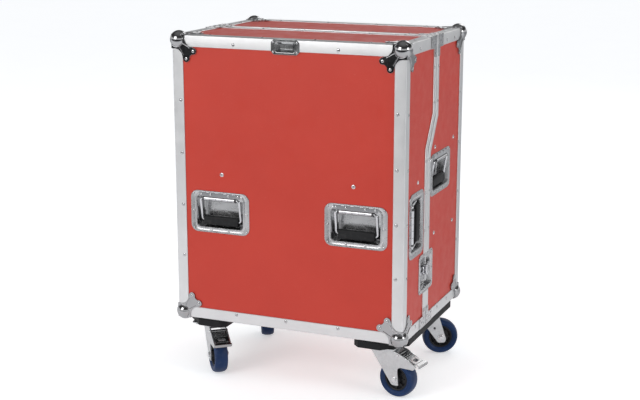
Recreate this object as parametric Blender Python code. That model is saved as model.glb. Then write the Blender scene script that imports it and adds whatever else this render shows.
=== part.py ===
# Flight case for fire extinguishers: a rear half on two skids and four casters, closed by a
# front cover that pulls straight forward off a tongue and groove with a dog-leg in it.
# Metres, +Z up, the floor at z = 0, the front faces -Y and the right side is +X.

import math

import bmesh
import bpy
from mathutils import Matrix, Vector

# Whole case, measured over the edge angles
CASE_WIDTH = 0.640
CASE_DEPTH = 0.476
CASE_HEIGHT = 0.760
# The swivelled casters reach further out to the right and the front than the case does, so the
# case stands this far from the middle of the footprint, which is the origin.
CASE_CENTRE_X = -0.015
CASE_CENTRE_Y = 0.009

# Clearance between pieces that touch, and between a pin and its hole
GAP = 0.0003
RUNNING_GAP = 0.0004
# How far shapes of one piece reach into each other where they are joined
WELD = 0.0005
# How far a joined shape stops short of its neighbour's face, so that no two lie in one plane
STEP_IN = 0.0002

# Panels and edge angles
PANEL_THICKNESS = 0.009
ANGLE_WIDTH = 0.030
ANGLE_THICKNESS = 0.002

# Closure line between the halves. The ratios are heights over the case's height.
SPLIT_UPPER_Y = 0.0
COVER_FOOT_DEPTH = 0.181
DOGLEG_LOW_RATIO = 0.6171
DOGLEG_HIGH_RATIO = 0.7329
CLOSURE_FLANGE = 0.022
CLOSURE_INNER_FLANGE = 0.016
CLOSURE_WALL = 0.0016
RIDGE_HEIGHT = 0.0018
RIDGE_WIDTH = 0.0042
TONGUE_LENGTH = 0.0045
TONGUE_THICKNESS = 0.0030
GROOVE_DEPTH = 0.0055
GROOVE_CLEARANCE = 0.0006

# Braces over the joints of the closure line
BRACE_THICKNESS = 0.0016
BRACE_REACH = 0.050
BRACE_HEAD = 0.031
BRACE_STEM = 0.054

# Ball corners
BALL_RADIUS = 0.0235
BALL_INSET = 0.013
CORNER_EDGE_REACH = 0.038
CORNER_LOBE_NEAR = 0.041
CORNER_LOBE_FAR = 0.061
CORNER_LOBE_RADIUS = 0.009
CORNER_WAIST = 0.0535
CORNER_FLARE_START = 0.010
CORNER_FLARE_MIDDLE = (0.041, 0.020)
CORNER_FLARE_END = 0.050
CORNER_THICKNESS = 0.0016

# Recessed spring handles
HANDLE_WIDTH = 0.170
HANDLE_HEIGHT = 0.112
HANDLE_CORNER = 0.018
HANDLE_OPENING_WIDTH = 0.132
HANDLE_OPENING_TOP = 0.043
HANDLE_OPENING_BOTTOM = -0.041
HANDLE_OPENING_CORNER = 0.010
HANDLE_DEPTH = 0.032
HANDLE_TAPER = 0.005
SHEET = 0.0015
HINGE_V = 0.036
HINGE_W = 0.0012
LEAF_LENGTH = 0.088
LEAF_THICKNESS = 0.0020
LEAF_TOP = 0.053
BARREL_RADIUS = 0.0056
BAIL_RADIUS = 0.0036
BAIL_HALF_WIDTH = 0.056
BAIL_STUB = 0.012
BAIL_BEND = 0.007
GRIP_V = -0.024
GRIP_W = -0.0095
GRIP_HEIGHT = 0.025
GRIP_DEPTH = 0.017
GRIP_LENGTH = 0.100
GRIP_CORNER = 0.004
GRIP_DRAFT = 0.0015
FRONT_HANDLE_FROM_SIDE = 0.129
FRONT_HANDLE_RATIO = 0.3921
COVER_HANDLE_FROM_FRONT = 0.098
COVER_HANDLE_RATIO = 0.38684
REAR_HANDLE_FROM_SPLIT = 0.108
REAR_HANDLE_RATIO = 0.52105

# Butterfly latches across the lower stretch of the closure line
LATCH_BELOW_HANDLE = 0.146
LATCH_HEIGHT = 0.106
LATCH_HALF_WIDTH = 0.056
LATCH_CORNER = 0.010
LATCH_RIM = 0.011
LATCH_DEPTH = 0.016
LATCH_TAPER = 0.002
SPINDLE_Y = 0.016
SPINDLE_RADIUS = 0.0155
SPINDLE_THICKNESS = 0.0035
LATCH_POST_RADIUS = 0.003
HOOK_THICKNESS = 0.0025
HOOK_HALF_WIDTH = 0.0105
HOOK_REACH = 0.020
HOOK_TRAVEL = 0.008
HOOK_NOSE_LENGTH = 0.010
CATCH_LENGTH = 0.005
CATCH_INSET = 0.002
KEEPER_HEIGHT = 0.0022
EAR_HALF_LENGTH = 0.0035
EAR_INNER = 0.0095
EAR_OUTER = 0.0125
WING_SPAN = 0.040
WING_RADIUS = 0.0085
WING_THICKNESS = 0.0025
WING_PIN_RADIUS = 0.0015
WING_PIN_HALF = 0.011
WING_AXIS_RISE = 0.0032
WING_EYE_RADIUS = 0.0027
WING_EYE_HALF = 0.0090
WING_NECK = 0.0024
WING_NECK_HALF = 0.0085
WING_SHOULDER = (0.0058, 0.0095)
WING_LOBE_X = 0.0135
WING_NOTCH = 0.0165

# Finger pull in the cover's top front edge
PULL_WIDTH = 0.078
PULL_HEIGHT = 0.038
PULL_RECESS_WIDTH = 0.050
PULL_RECESS_HEIGHT = 0.022
PULL_DEPTH = 0.0095
PULL_FROM_TOP = 0.0195
PULL_CORNER = 0.007
PULL_TAPER = 0.004

# Skids under the case
SKID_THICKNESS = 0.020
SKID_WIDTH = 0.137
SKID_OUTER_CUT = 0.060
SKID_INNER_CUT = 0.016
SKID_INSET = 0.002
SKID_REBATE_REACH = 0.071

# Casters
WHEEL_RADIUS = 0.050
TYRE_WIDTH = 0.036
TYRE_SHOULDER = 0.006
RIM_RADIUS = 0.032
RIM_WIDTH = 0.028
HUB_RADIUS = 0.013
HUB_WIDTH = 0.0395
AXLE_RADIUS = 0.005
TYRE_BEAD = 0.004
RIM_FLANGE = 0.003
RIM_WEB_EDGE = 0.005
RIM_WEB_HALF = 0.005
CASTER_OFFSET = 0.040
CASTER_FROM_SIDE = 0.070
CASTER_FROM_END = 0.070
CASTER_RISE = 0.0894
CASTER_PLATE_LENGTH = 0.105
CASTER_PLATE_WIDTH = 0.085
CASTER_PLATE_THICKNESS = 0.003
CASTER_PLATE_CORNER = 0.008
RACE_RADIUS = 0.026
RACE_HEIGHT = 0.007
RACE_CHAMFER = 0.004
FORK_SHEET = 0.0035
FORK_CROWN_FRONT = -0.029
FORK_CROWN_REAR = 0.032
LEG_FOOT = 0.015
LEG_FOOT_FRONT = 0.010
LEG_FOOT_REAR = 0.0125
LEG_FOOT_CHAMFER = 0.004
LEG_FOOT_RISE = 0.003
LEG_REAR = 0.0148
LEG_REAR_DROP = 0.004
BOLT_HEAD_RADIUS = 0.0085
BOLT_HEAD_HEIGHT = 0.0050
BRAKE_ARM_END = 0.104
BRAKE_ARM_UNDER = 0.036
BRAKE_ARM_HEIGHT = 0.010
BRAKE_ARM_ROOT = 0.0185
BRAKE_ARM_SHOULDER = (0.054, 0.123)
PEDAL_START = 0.048
PEDAL_END = 0.112
PEDAL_DROP = 0.019
PEDAL_THICKNESS = 0.0025
PEDAL_TIP_HALF_WIDTH = 0.023
PEDAL_BARREL_RADIUS = 0.0048
PEDAL_PIN_RADIUS = 0.0024
PEDAL_TOP = 0.118
PEDAL_HEEL = 0.002
PEDAL_WINDOW = (0.034, 0.045)
PEDAL_WINDOW_HALF = 0.011
PEDAL_LIP_THICKNESS = 0.0025
PEDAL_LIP_HEIGHT = 0.006
SHOE_LENGTH = 0.014
SHOE_HALF_WIDTH = 0.0116
SHOE_BOTTOM = -0.0085
SHOE_TOP = -0.001
SWIVEL_DEGREES = {
    "front_left": -50.0,
    "front_right": -10.0,
    "rear_left": -62.0,
    "rear_right": 25.0,
}

# Inner fittings for three upright extinguishers
BAY_TOOTH = 0.028
BAY_SIDE_WALL = 0.0227
BAY_AHEAD_OF_MIDDLE = 0.0055
CRADLE_THICKNESS = 0.018
SHELF_THICKNESS = 0.012
SHELF_BEHIND_SPLIT = 0.027
LOWER_SHELF_RATIO = 0.31184
UPPER_SHELF_RATIO = 0.6171
COVER_SHELF_RATIO = 0.52632
COVER_SHELF_SHORT_OF_BAY = 0.065
COVER_SHELF_CLEARANCE = 0.004
COVER_SHELF_STEP = 0.019
COVER_SHELF_NARROW_START = 0.012
COVER_SHELF_SIDE_ROOM = 0.042
COVER_SHELF_BAY_CLEARANCE = 0.002
FITTING_CLEARANCE = GAP

# Clear fields of the top, the back and the front, where something else can be fixed or set down:
# each stands a hair proud of the panel, which makes it a face of its own between the metalwork
FIELD_RISE = 0.0001
CLEAR_FROM_SIDE = 0.075
CLEAR_FROM_END = 0.034
CLEAR_TOP_FROM_SPLIT = 0.026
CLEAR_OVER_HANDLES = 0.064
CLEAR_UNDER_PULL = 0.044

# Facets on round pieces
BALL_RINGS = 7
BALL_SEGMENTS = 12
WHEEL_SEGMENTS = 20
LOBE_STEPS = 3
SMALL_SEGMENTS = 8
BORE_SEGMENTS = 10
BAY_SEGMENTS = 16

# Worked out from the sizes above
HALF_WIDTH = CASE_WIDTH / 2
HALF_DEPTH = CASE_DEPTH / 2
SPLIT_LOWER_Y = COVER_FOOT_DEPTH - HALF_DEPTH
DOGLEG_LOW = CASE_HEIGHT * DOGLEG_LOW_RATIO
DOGLEG_HIGH = CASE_HEIGHT * DOGLEG_HIGH_RATIO
FRONT_HANDLE_X = HALF_WIDTH - FRONT_HANDLE_FROM_SIDE
FRONT_HANDLE_Z = CASE_HEIGHT * FRONT_HANDLE_RATIO
COVER_HANDLE_Y = COVER_HANDLE_FROM_FRONT - HALF_DEPTH
COVER_HANDLE_Z = CASE_HEIGHT * COVER_HANDLE_RATIO
REAR_HANDLE_Y = SPLIT_LOWER_Y + REAR_HANDLE_FROM_SPLIT
REAR_HANDLE_Z = CASE_HEIGHT * REAR_HANDLE_RATIO
LATCH_Z = COVER_HANDLE_Z - LATCH_BELOW_HANDLE
PULL_Z = CASE_HEIGHT - PULL_FROM_TOP
SKID_INNER_X = HALF_WIDTH - SKID_WIDTH
CASTER_X = HALF_WIDTH - CASTER_FROM_SIDE
CASTER_Y = HALF_DEPTH - CASTER_FROM_END
PANEL_FACE = ANGLE_THICKNESS + GAP
PANEL_BACK = PANEL_FACE + PANEL_THICKNESS
BAY_SPACING = (HALF_WIDTH - PANEL_BACK - BAY_SIDE_WALL + BAY_TOOTH / 2) / 1.5
BAY_RADIUS = (BAY_SPACING - BAY_TOOTH) / 2
BAY_Y = (SPLIT_LOWER_Y + HALF_DEPTH) / 2 - BAY_AHEAD_OF_MIDDLE
SHELF_FRONT_Y = SPLIT_LOWER_Y + SHELF_BEHIND_SPLIT
LOWER_SHELF_Z = CASE_HEIGHT * LOWER_SHELF_RATIO
UPPER_SHELF_Z = CASE_HEIGHT * UPPER_SHELF_RATIO
COVER_SHELF_Z = CASE_HEIGHT * COVER_SHELF_RATIO
COVER_SHELF_REAR_Y = BAY_Y - COVER_SHELF_SHORT_OF_BAY
COVER_SHELF_STEP_Y = SPLIT_LOWER_Y - COVER_SHELF_STEP
COVER_SHELF_NARROW_Y = SPLIT_LOWER_Y + COVER_SHELF_NARROW_START
COVER_SHELF_NARROW_HALF = HALF_WIDTH - COVER_SHELF_SIDE_ROOM
PLATE_TOP = WHEEL_RADIUS + CASTER_RISE
SKID_BOTTOM = PLATE_TOP + GAP
CASE_BOTTOM = SKID_BOTTOM + SKID_THICKNESS + GAP
CASE_TOP = CASE_BOTTOM + CASE_HEIGHT
TONGUE_PANEL_EDGE = CLOSURE_WALL + 2 * GAP
GROOVE_PANEL_EDGE = GROOVE_DEPTH + CLOSURE_WALL + 2 * GAP
SIDES = {"left": -1, "right": 1}


# Scene and object helpers

def clear_scene():
    for item in list(bpy.data.objects):
        bpy.data.objects.remove(item, do_unlink=True)


def make_material(name, colour, roughness, metallic):
    material = bpy.data.materials.new(name)
    material.use_nodes = True
    shader = material.node_tree.nodes["Principled BSDF"]
    shader.inputs["Base Color"].default_value = (*colour, 1.0)
    shader.inputs["Roughness"].default_value = roughness
    shader.inputs["Metallic"].default_value = metallic
    return material


def make_materials():
    return {
        "red_laminate": make_material("red_laminate", (0.55, 0.06, 0.04), 0.5, 0.0),
        "aluminium": make_material("aluminium", (0.66, 0.66, 0.67), 0.35, 0.9),
        "chrome": make_material("chrome", (0.70, 0.70, 0.72), 0.12, 1.0),
        "zinc": make_material("zinc", (0.58, 0.60, 0.62), 0.35, 0.9),
        "black_wood": make_material("black_wood", (0.02, 0.02, 0.02), 0.6, 0.0),
        "bare_wood": make_material("bare_wood", (0.45, 0.30, 0.17), 0.65, 0.0),
        "black_rubber": make_material("black_rubber", (0.02, 0.02, 0.02), 0.7, 0.0),
        "black_plastic": make_material("black_plastic", (0.02, 0.02, 0.02), 0.45, 0.0),
        "blue_tyre": make_material("blue_tyre", (0.015, 0.035, 0.16), 0.5, 0.0),
    }


def make_empty(name, matrix, parent):
    empty = bpy.data.objects.new(name, None)
    bpy.context.collection.objects.link(empty)
    empty.parent = parent
    empty.matrix_local = matrix
    return empty


def mesh_from(name, shape):
    bmesh.ops.remove_doubles(shape, verts=shape.verts, dist=1e-6)
    bmesh.ops.recalc_face_normals(shape, faces=shape.faces)
    mesh = bpy.data.meshes.new(name)
    shape.to_mesh(mesh)
    shape.free()
    return mesh


def make_object(name, mesh, material, parent, location=(0.0, 0.0, 0.0), turn=None, smooth=False):
    obj = bpy.data.objects.new(name, mesh)
    bpy.context.collection.objects.link(obj)
    obj.parent = parent
    obj.location = location
    if turn:
        obj.rotation_euler = turn
    if not mesh.materials:
        mesh.materials.append(material)
    if smooth:
        mesh.shade_smooth()
        mesh.set_sharp_from_angle(angle=math.radians(35))
    return obj


def boolean_mesh(name, first, second, operation, solver="EXACT"):
    """The union or difference of two closed meshes, as a new mesh."""
    kept = bpy.data.objects.new("boolean_kept", first)
    tool = bpy.data.objects.new("boolean_tool", second)
    for item in (kept, tool):
        bpy.context.collection.objects.link(item)
    modifier = kept.modifiers.new("boolean", "BOOLEAN")
    modifier.object = tool
    modifier.operation = operation
    modifier.solver = solver
    graph = bpy.context.evaluated_depsgraph_get()
    result = bpy.data.meshes.new_from_object(kept.evaluated_get(graph))
    result.name = name
    for item in (kept, tool):
        bpy.data.objects.remove(item, do_unlink=True)
    return result


def fuse(name, meshes, solver="EXACT"):
    joined = meshes[0]
    for mesh in meshes[1:]:
        joined = boolean_mesh(name, joined, mesh, "UNION", solver)
    return joined


# Shape helpers

def add_box(shape, low, high):
    size = [b - a for a, b in zip(low, high)]
    middle = [(a + b) / 2 for a, b in zip(low, high)]
    matrix = Matrix.Translation(middle) @ Matrix.Diagonal((*size, 1.0))
    bmesh.ops.create_cube(shape, size=1.0, matrix=matrix)


def box_mesh(name, low, high):
    shape = bmesh.new()
    add_box(shape, low, high)
    return mesh_from(name, shape)


def arc(centre, radius, start, end, steps):
    """Points on an arc, angles in degrees, both ends included."""
    points = []
    for index in range(steps + 1):
        angle = math.radians(start + (end - start) * index / steps)
        points.append((centre[0] + radius * math.cos(angle), centre[1] + radius * math.sin(angle)))
    return points


def circle(centre, radius, steps):
    return arc(centre, radius, 0.0, 360.0 * (steps - 1) / steps, steps - 1)


def rounded_rectangle(half_u, half_v, radius, steps, centre_v=0.0):
    points = []
    for quarter, (side_u, side_v) in enumerate(((1, 1), (-1, 1), (-1, -1), (1, -1))):
        middle = (side_u * (half_u - radius), centre_v + side_v * (half_v - radius))
        points += arc(middle, radius, 90.0 * quarter, 90.0 * quarter + 90.0, steps)
    return points


def add_plate(shape, loops, place, low, high):
    """A flat plate between two heights: the first loop is its outline, the others are holes."""
    flat = bmesh.new()
    edges = []
    for loop in loops:
        corners = [flat.verts.new((u, v, 0.0)) for u, v in loop]
        for start, end in zip(corners, corners[1:] + corners[:1]):
            edges.append(flat.edges.new((start, end)))
    bmesh.ops.triangle_fill(flat, use_beauty=True, use_dissolve=False, edges=edges)
    flat.verts.index_update()
    points = [(v.co.x, v.co.y) for v in flat.verts]
    under = [shape.verts.new(place(u, v, low)) for u, v in points]
    over = [shape.verts.new(place(u, v, high)) for u, v in points]
    for face in flat.faces:
        corners = [v.index for v in face.verts]
        shape.faces.new([over[i] for i in corners])
        shape.faces.new([under[i] for i in reversed(corners)])
    for edge in flat.edges:
        if len(edge.link_faces) == 1:
            a, b = (v.index for v in edge.verts)
            shape.faces.new((under[a], under[b], over[b], over[a]))
    flat.free()


def plate_mesh(name, loops, place, low, high):
    shape = bmesh.new()
    add_plate(shape, loops, place, low, high)
    return mesh_from(name, shape)


def along_x(u, v, w):
    return (w, u, v)


def along_y(u, v, w):
    return (u, w, v)


def along_z(u, v, w):
    return (u, v, w)


def add_loft(shape, rings):
    """A closed skin through rings of equal count, capped at both ends."""
    made = [[shape.verts.new(point) for point in ring] for ring in rings]
    for first, second in zip(made, made[1:]):
        count = len(first)
        for index in range(count):
            after = (index + 1) % count
            shape.faces.new((first[index], first[after], second[after], second[index]))
    shape.faces.new(list(reversed(made[0])))
    shape.faces.new(made[-1])


def add_turning(shape, profile, segments, place):
    """A ring turned from a closed profile of (radius, height) points."""
    rings = []
    for index in range(segments):
        angle = 2 * math.pi * index / segments
        ring = [shape.verts.new(place(r * math.cos(angle), r * math.sin(angle), h)) for r, h in profile]
        rings.append(ring)
    for index in range(segments):
        first, second = rings[index], rings[(index + 1) % segments]
        for point in range(len(profile)):
            after = (point + 1) % len(profile)
            shape.faces.new((first[point], first[after], second[after], second[point]))


def add_cylinder(shape, radius, low, high, segments, place, centre=(0.0, 0.0)):
    rings = []
    for height in (low, high):
        rings.append([place(u, v, height) for u, v in circle(centre, radius, segments)])
    add_loft(shape, rings)


def add_bar(shape, path, radius, segments):
    """A round bar along a path of points, with flat ends."""
    points = [Vector(point) for point in path]
    rings = []
    side = None
    for index, point in enumerate(points):
        before = points[max(index - 1, 0)]
        after = points[min(index + 1, len(points) - 1)]
        ahead = (after - before).normalized()
        if side is None:
            side = ahead.orthogonal().normalized()
        side = (side - ahead * side.dot(ahead)).normalized()
        up = ahead.cross(side)
        ring = []
        for step in range(segments):
            angle = 2 * math.pi * step / segments
            ring.append(point + radius * (math.cos(angle) * side + math.sin(angle) * up))
        rings.append(ring)
    add_loft(shape, rings)


def add_sweep(shape, section, path, outs, intos):
    """A bar of (into, out) section points along a path, mitred at each bend. outs and intos hold
    the outward direction and the direction into the half for each stretch of the path."""
    last = len(path) - 1
    rings = []
    for index, point in enumerate(path):
        stretch = min(index, last - 1)
        ahead = (path[stretch + 1] - path[stretch]).normalized()
        normal = ahead
        if 0 < index < last:
            normal = (ahead + (point - path[index - 1]).normalized()).normalized()
        ring = []
        for u, w in section:
            offset = intos[stretch] * u + outs[stretch] * w
            ring.append(point + offset - ahead * (offset.dot(normal) / ahead.dot(normal)))
        rings.append(ring)
    add_loft(shape, rings)


# Closure line

def closure_path(side):
    """Corner points of the closure line on one side, bottom to top, at the outer plane."""
    x = side * HALF_WIDTH
    return [
        Vector((x, SPLIT_LOWER_Y, CASE_BOTTOM)),
        Vector((x, SPLIT_LOWER_Y, CASE_BOTTOM + DOGLEG_LOW)),
        Vector((x, SPLIT_UPPER_Y, CASE_BOTTOM + DOGLEG_HIGH)),
        Vector((x, SPLIT_UPPER_Y, CASE_TOP)),
    ]


def offset_line(offset):
    """The closure line in the side plane as (y, z) points, moved towards +Y by an offset."""
    path = [(point.y, point.z) for point in closure_path(1)]
    slope = math.atan2(DOGLEG_HIGH - DOGLEG_LOW, SPLIT_UPPER_Y - SPLIT_LOWER_Y)
    rise = offset * math.tan((math.pi / 2 - slope) / 2)
    shifts = [(offset, 0.0), (offset, -rise), (offset, -rise), (offset, 0.0)]
    return [(y + dy, z + dz) for (y, z), (dy, dz) in zip(path, shifts)]


def latch_span():
    """Lowest and highest z where the closure extrusion is cut away for a latch."""
    middle = CASE_BOTTOM + LATCH_Z
    return middle - LATCH_HEIGHT / 2 - GAP, middle + LATCH_HEIGHT / 2 + GAP


def closure_section(tongue):
    """The extrusion inside its outer flange: (into the half, outwards) points."""
    wall = CLOSURE_WALL + GAP / 2 if tongue else GROOVE_DEPTH + CLOSURE_WALL
    middle = -(PANEL_FACE + PANEL_THICKNESS / 2)
    inner = -(PANEL_BACK + GAP)
    face = GAP / 2
    if tongue:
        half, tip = TONGUE_THICKNESS / 2, -TONGUE_LENGTH
    else:
        half, tip = TONGUE_THICKNESS / 2 + GROOVE_CLEARANCE, GROOVE_DEPTH
    return [
        (wall, WELD - ANGLE_THICKNESS),
        (wall, inner),
        (CLOSURE_INNER_FLANGE, inner),
        (CLOSURE_INNER_FLANGE, inner - CLOSURE_WALL),
        (face, inner - CLOSURE_WALL),
        (face, middle - half),
        (tip, middle - half),
        (tip, middle + half),
        (face, middle + half),
        (face, WELD - ANGLE_THICKNESS),
    ]


def ridge_section():
    face = GAP / 2
    return [
        (face, -WELD),
        (face, RIDGE_HEIGHT),
        (RIDGE_WIDTH - 0.0008, RIDGE_HEIGHT),
        (RIDGE_WIDTH, -WELD),
    ]


def closure_runs(way):
    """The closure line above and below the latches, as (path, outs, intos). way is -1 for the
    cover and 1 for the rear half."""
    left, right = closure_path(-1), closure_path(1)
    low, high = latch_span()
    flat = Vector((0.0, way, 0.0))
    slope = (right[2] - right[1]).normalized()
    sloped = Vector((0.0, slope.z, -slope.y)) * way
    east, west = Vector((1.0, 0.0, 0.0)), Vector((-1.0, 0.0, 0.0))
    up, down = Vector((0.0, 0.0, 1.0)), Vector((0.0, 0.0, -1.0))
    low, high = low - STEP_IN, high + STEP_IN
    upper = [Vector((right[0].x, right[0].y, high))] + right[1:]
    upper += list(reversed(left[1:])) + [Vector((left[0].x, left[0].y, high))]
    lower = [Vector((right[0].x, right[0].y, low)), right[0]]
    lower += [left[0], Vector((left[0].x, left[0].y, low))]
    return (
        (upper, [east, east, east, up, west, west, west], [flat, sloped, flat, flat, flat, sloped, flat]),
        (lower, [east, down, west], [flat, flat, flat]),
    )


def closure_meshes(way):
    """The closure extrusion of one half with its ridge, which the case's underside goes without."""
    upper, lower = closure_runs(way)
    runs = [
        (closure_section(way < 0), upper),
        (closure_section(way < 0), lower),
        (ridge_section(), upper),
    ]
    path, outs, intos = lower
    for first in (0, 2):
        ends = sorted(path[first:first + 2], key=lambda point: -point.z)
        ends[1] = ends[1] + Vector((0.0, 0.0, 2 * WELD))
        runs.append((ridge_section(), (ends, outs[first:first + 1], intos[first:first + 1])))
    meshes = []
    for section, (path, outs, intos) in runs:
        shape = bmesh.new()
        add_sweep(shape, section, path, outs, intos)
        meshes.append(mesh_from("closure_run", shape))
    return meshes


# Edge angles, as the bands that they make on the faces of one half

def side_band_outline(way):
    """The band on a side face, open where the latch stands: (y, z) points."""
    outer = offset_line(way * (GAP / 2 + STEP_IN))
    inner = offset_line(way * CLOSURE_FLANGE)
    far = way * (HALF_DEPTH - WELD)
    far_inner = way * (HALF_DEPTH - ANGLE_WIDTH)
    floor, roof = CASE_BOTTOM + ANGLE_WIDTH, CASE_TOP - ANGLE_WIDTH
    low, high = latch_span()
    return [
        (far, CASE_BOTTOM + WELD),
        (outer[0][0], CASE_BOTTOM + WELD),
        (outer[0][0], low),
        (inner[0][0], low),
        (inner[0][0], floor),
        (far_inner, floor),
        (far_inner, roof),
        (inner[3][0], roof),
        inner[2],
        inner[1],
        (inner[0][0], high),
        (outer[0][0], high),
        outer[1],
        outer[2],
        (outer[3][0], CASE_TOP - WELD),
        (far, CASE_TOP - WELD),
    ]


def rectangle(low_u, high_u, low_v, high_v):
    return [(low_u, low_v), (high_u, low_v), (high_u, high_v), (low_u, high_v)]


def face_band_mesh(way):
    """The band round the front or the rear face, notched for the finger pull in front."""
    half = HALF_WIDTH - ANGLE_WIDTH
    floor, roof = CASE_BOTTOM + ANGLE_WIDTH, CASE_TOP - ANGLE_WIDTH
    hole = rectangle(-half, half, floor, roof)
    if way < 0:
        notch = PULL_RECESS_WIDTH / 2 + SHEET + GAP
        top = CASE_BOTTOM + PULL_Z + PULL_RECESS_HEIGHT / 2 + SHEET + GAP
        hole = hole[:3] + [(notch, roof), (notch, top), (-notch, top), (-notch, roof)] + hole[3:]
    reach = HALF_WIDTH - WELD
    outline = rectangle(-reach, reach, CASE_BOTTOM + WELD, CASE_TOP - WELD)
    ends = sorted((way * HALF_DEPTH, way * (HALF_DEPTH - ANGLE_THICKNESS)))
    return plate_mesh("face_band", [outline, hole], along_y, *ends)


def flat_band_mesh(way, split, low, high):
    """The band round the top or the underside of one half."""
    far, near = way * (HALF_DEPTH - WELD), split + way * (GAP / 2 + STEP_IN)
    far_inner, near_inner = way * (HALF_DEPTH - ANGLE_WIDTH), split + way * CLOSURE_FLANGE
    half = HALF_WIDTH - ANGLE_WIDTH
    reach = HALF_WIDTH - WELD
    outline = rectangle(-reach, reach, min(far, near), max(far, near))
    hole = rectangle(-half, half, min(far_inner, near_inner), max(far_inner, near_inner))
    return plate_mesh("flat_band", [outline, hole], along_z, low, high)


def brace_outline(start_v):
    """A brace's T-shaped half in (distance from the closure line, distance from the edge)."""
    start = RIDGE_WIDTH - WELD
    stem = CLOSURE_FLANGE - STEP_IN
    return [
        (start, start_v),
        (BRACE_REACH, start_v),
        (BRACE_REACH, BRACE_HEAD),
        (stem, BRACE_HEAD),
        (stem, BRACE_STEM),
        (start, BRACE_STEM),
    ]


def brace_meshes(way):
    """The braces of one half: bent over the top edges, flat on the side faces at the foot."""
    meshes = []
    for side in SIDES.values():
        def on_side_top(a, b, w, side=side):
            return (side * (HALF_WIDTH + w), SPLIT_UPPER_Y + way * a, CASE_TOP - b)

        def on_top(a, b, w, side=side):
            return (side * (HALF_WIDTH - b), SPLIT_UPPER_Y + way * a, CASE_TOP + w)

        def on_side_foot(a, b, w, side=side):
            return (side * (HALF_WIDTH + w), SPLIT_LOWER_Y + way * a, CASE_BOTTOM + b)

        bent, flat = brace_outline(STEP_IN - BRACE_THICKNESS), brace_outline(2 * WELD)
        for outline, place in ((bent, on_side_top), (bent, on_top), (flat, on_side_foot)):
            meshes.append(plate_mesh("brace", [outline], place, -WELD, BRACE_THICKNESS))
    return meshes


def frame_mesh(name, way):
    """The metal frame of one half: edge angles, closure extrusion and braces, riveted together.
    The thin mitred shapes need the manifold solver, and all of them are closed."""
    meshes = [face_band_mesh(way)]
    for side in SIDES.values():
        ends = sorted((side * HALF_WIDTH, side * (HALF_WIDTH - ANGLE_THICKNESS)))
        meshes.append(plate_mesh("side_band", [side_band_outline(way)], along_x, *ends))
    meshes.append(flat_band_mesh(way, SPLIT_UPPER_Y, CASE_TOP - ANGLE_THICKNESS, CASE_TOP))
    meshes.append(flat_band_mesh(way, SPLIT_LOWER_Y, CASE_BOTTOM, CASE_BOTTOM + ANGLE_THICKNESS))
    return fuse(name, meshes + closure_meshes(way) + brace_meshes(way), "MANIFOLD")


# Plywood shells

def face_panel_mesh(way, holes):
    """The front or the rear panel, which covers the edges of the panels behind it."""
    inset = PANEL_FACE + STEP_IN
    half = HALF_WIDTH - inset
    outline = rectangle(-half, half, CASE_BOTTOM + inset, CASE_TOP - inset)
    ends = sorted((way * (HALF_DEPTH - PANEL_FACE), way * (HALF_DEPTH - PANEL_BACK)))
    return plate_mesh("face_panel", [outline] + holes, along_y, *ends)


def side_panel_mesh(side, way, hole):
    """A side panel of one half, cut to the dog-leg and notched for its latch."""
    line = offset_line(way * (TONGUE_PANEL_EDGE if way < 0 else GROOVE_PANEL_EDGE))
    low, high = CASE_BOTTOM + PANEL_FACE + STEP_IN, CASE_TOP - PANEL_FACE - STEP_IN
    line[0] = (line[0][0], low)
    line[3] = (line[3][0], high)
    reach = SPLIT_LOWER_Y + way * (LATCH_HALF_WIDTH - LATCH_RIM + SHEET + GAP)
    half = LATCH_HEIGHT / 2 - LATCH_RIM + SHEET + GAP
    middle = CASE_BOTTOM + LATCH_Z
    notch = [
        (line[0][0], middle - half),
        (reach, middle - half),
        (reach, middle + half),
        (line[0][0], middle + half),
    ]
    far = way * (HALF_DEPTH - PANEL_BACK + WELD)
    outline = [(far, low), line[0]] + notch + line[1:] + [(far, high)]
    ends = sorted((side * (HALF_WIDTH - PANEL_FACE), side * (HALF_WIDTH - PANEL_BACK)))
    return plate_mesh("side_panel", [outline, hole], along_x, *ends)


def flat_panel_mesh(way, top):
    """The top or the bottom panel of one half, between its side panels."""
    half = HALF_WIDTH - PANEL_BACK + WELD
    edge = TONGUE_PANEL_EDGE if way < 0 else GROOVE_PANEL_EDGE
    split = SPLIT_UPPER_Y if top else SPLIT_LOWER_Y
    near = split + way * (edge + STEP_IN)
    far = way * (HALF_DEPTH - PANEL_BACK + WELD)
    outer = CASE_TOP - PANEL_FACE if top else CASE_BOTTOM + PANEL_FACE
    inner = CASE_TOP - PANEL_BACK if top else CASE_BOTTOM + PANEL_BACK
    low = (-half, min(near, far), min(outer, inner))
    high = (half, max(near, far), max(outer, inner))
    return box_mesh("flat_panel", low, high)


def cover_fields():
    """The clear field of the front, over its handles and under the finger pull."""
    side = HALF_WIDTH - CLEAR_FROM_SIDE
    face = PANEL_FACE - HALF_DEPTH
    low = (-side, face - FIELD_RISE, CASE_BOTTOM + FRONT_HANDLE_Z + CLEAR_OVER_HANDLES)
    high = (side, face + WELD, CASE_TOP - CLEAR_UNDER_PULL)
    return [box_mesh("front_field", low, high)]


def rear_fields():
    """The clear fields of the back, between its angles, and of the top, behind the braces."""
    side = HALF_WIDTH - CLEAR_FROM_SIDE
    face = HALF_DEPTH - PANEL_FACE
    low = (-side, face - WELD, CASE_BOTTOM + CLEAR_FROM_END)
    high = (side, face + FIELD_RISE, CASE_TOP - CLEAR_FROM_END)
    back = box_mesh("back_field", low, high)
    face = CASE_TOP - PANEL_FACE
    low = (-side, SPLIT_UPPER_Y + CLEAR_TOP_FROM_SPLIT, face - WELD)
    high = (side, HALF_DEPTH - CLEAR_FROM_END, face + FIELD_RISE)
    return [back, box_mesh("top_field", low, high)]


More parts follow.
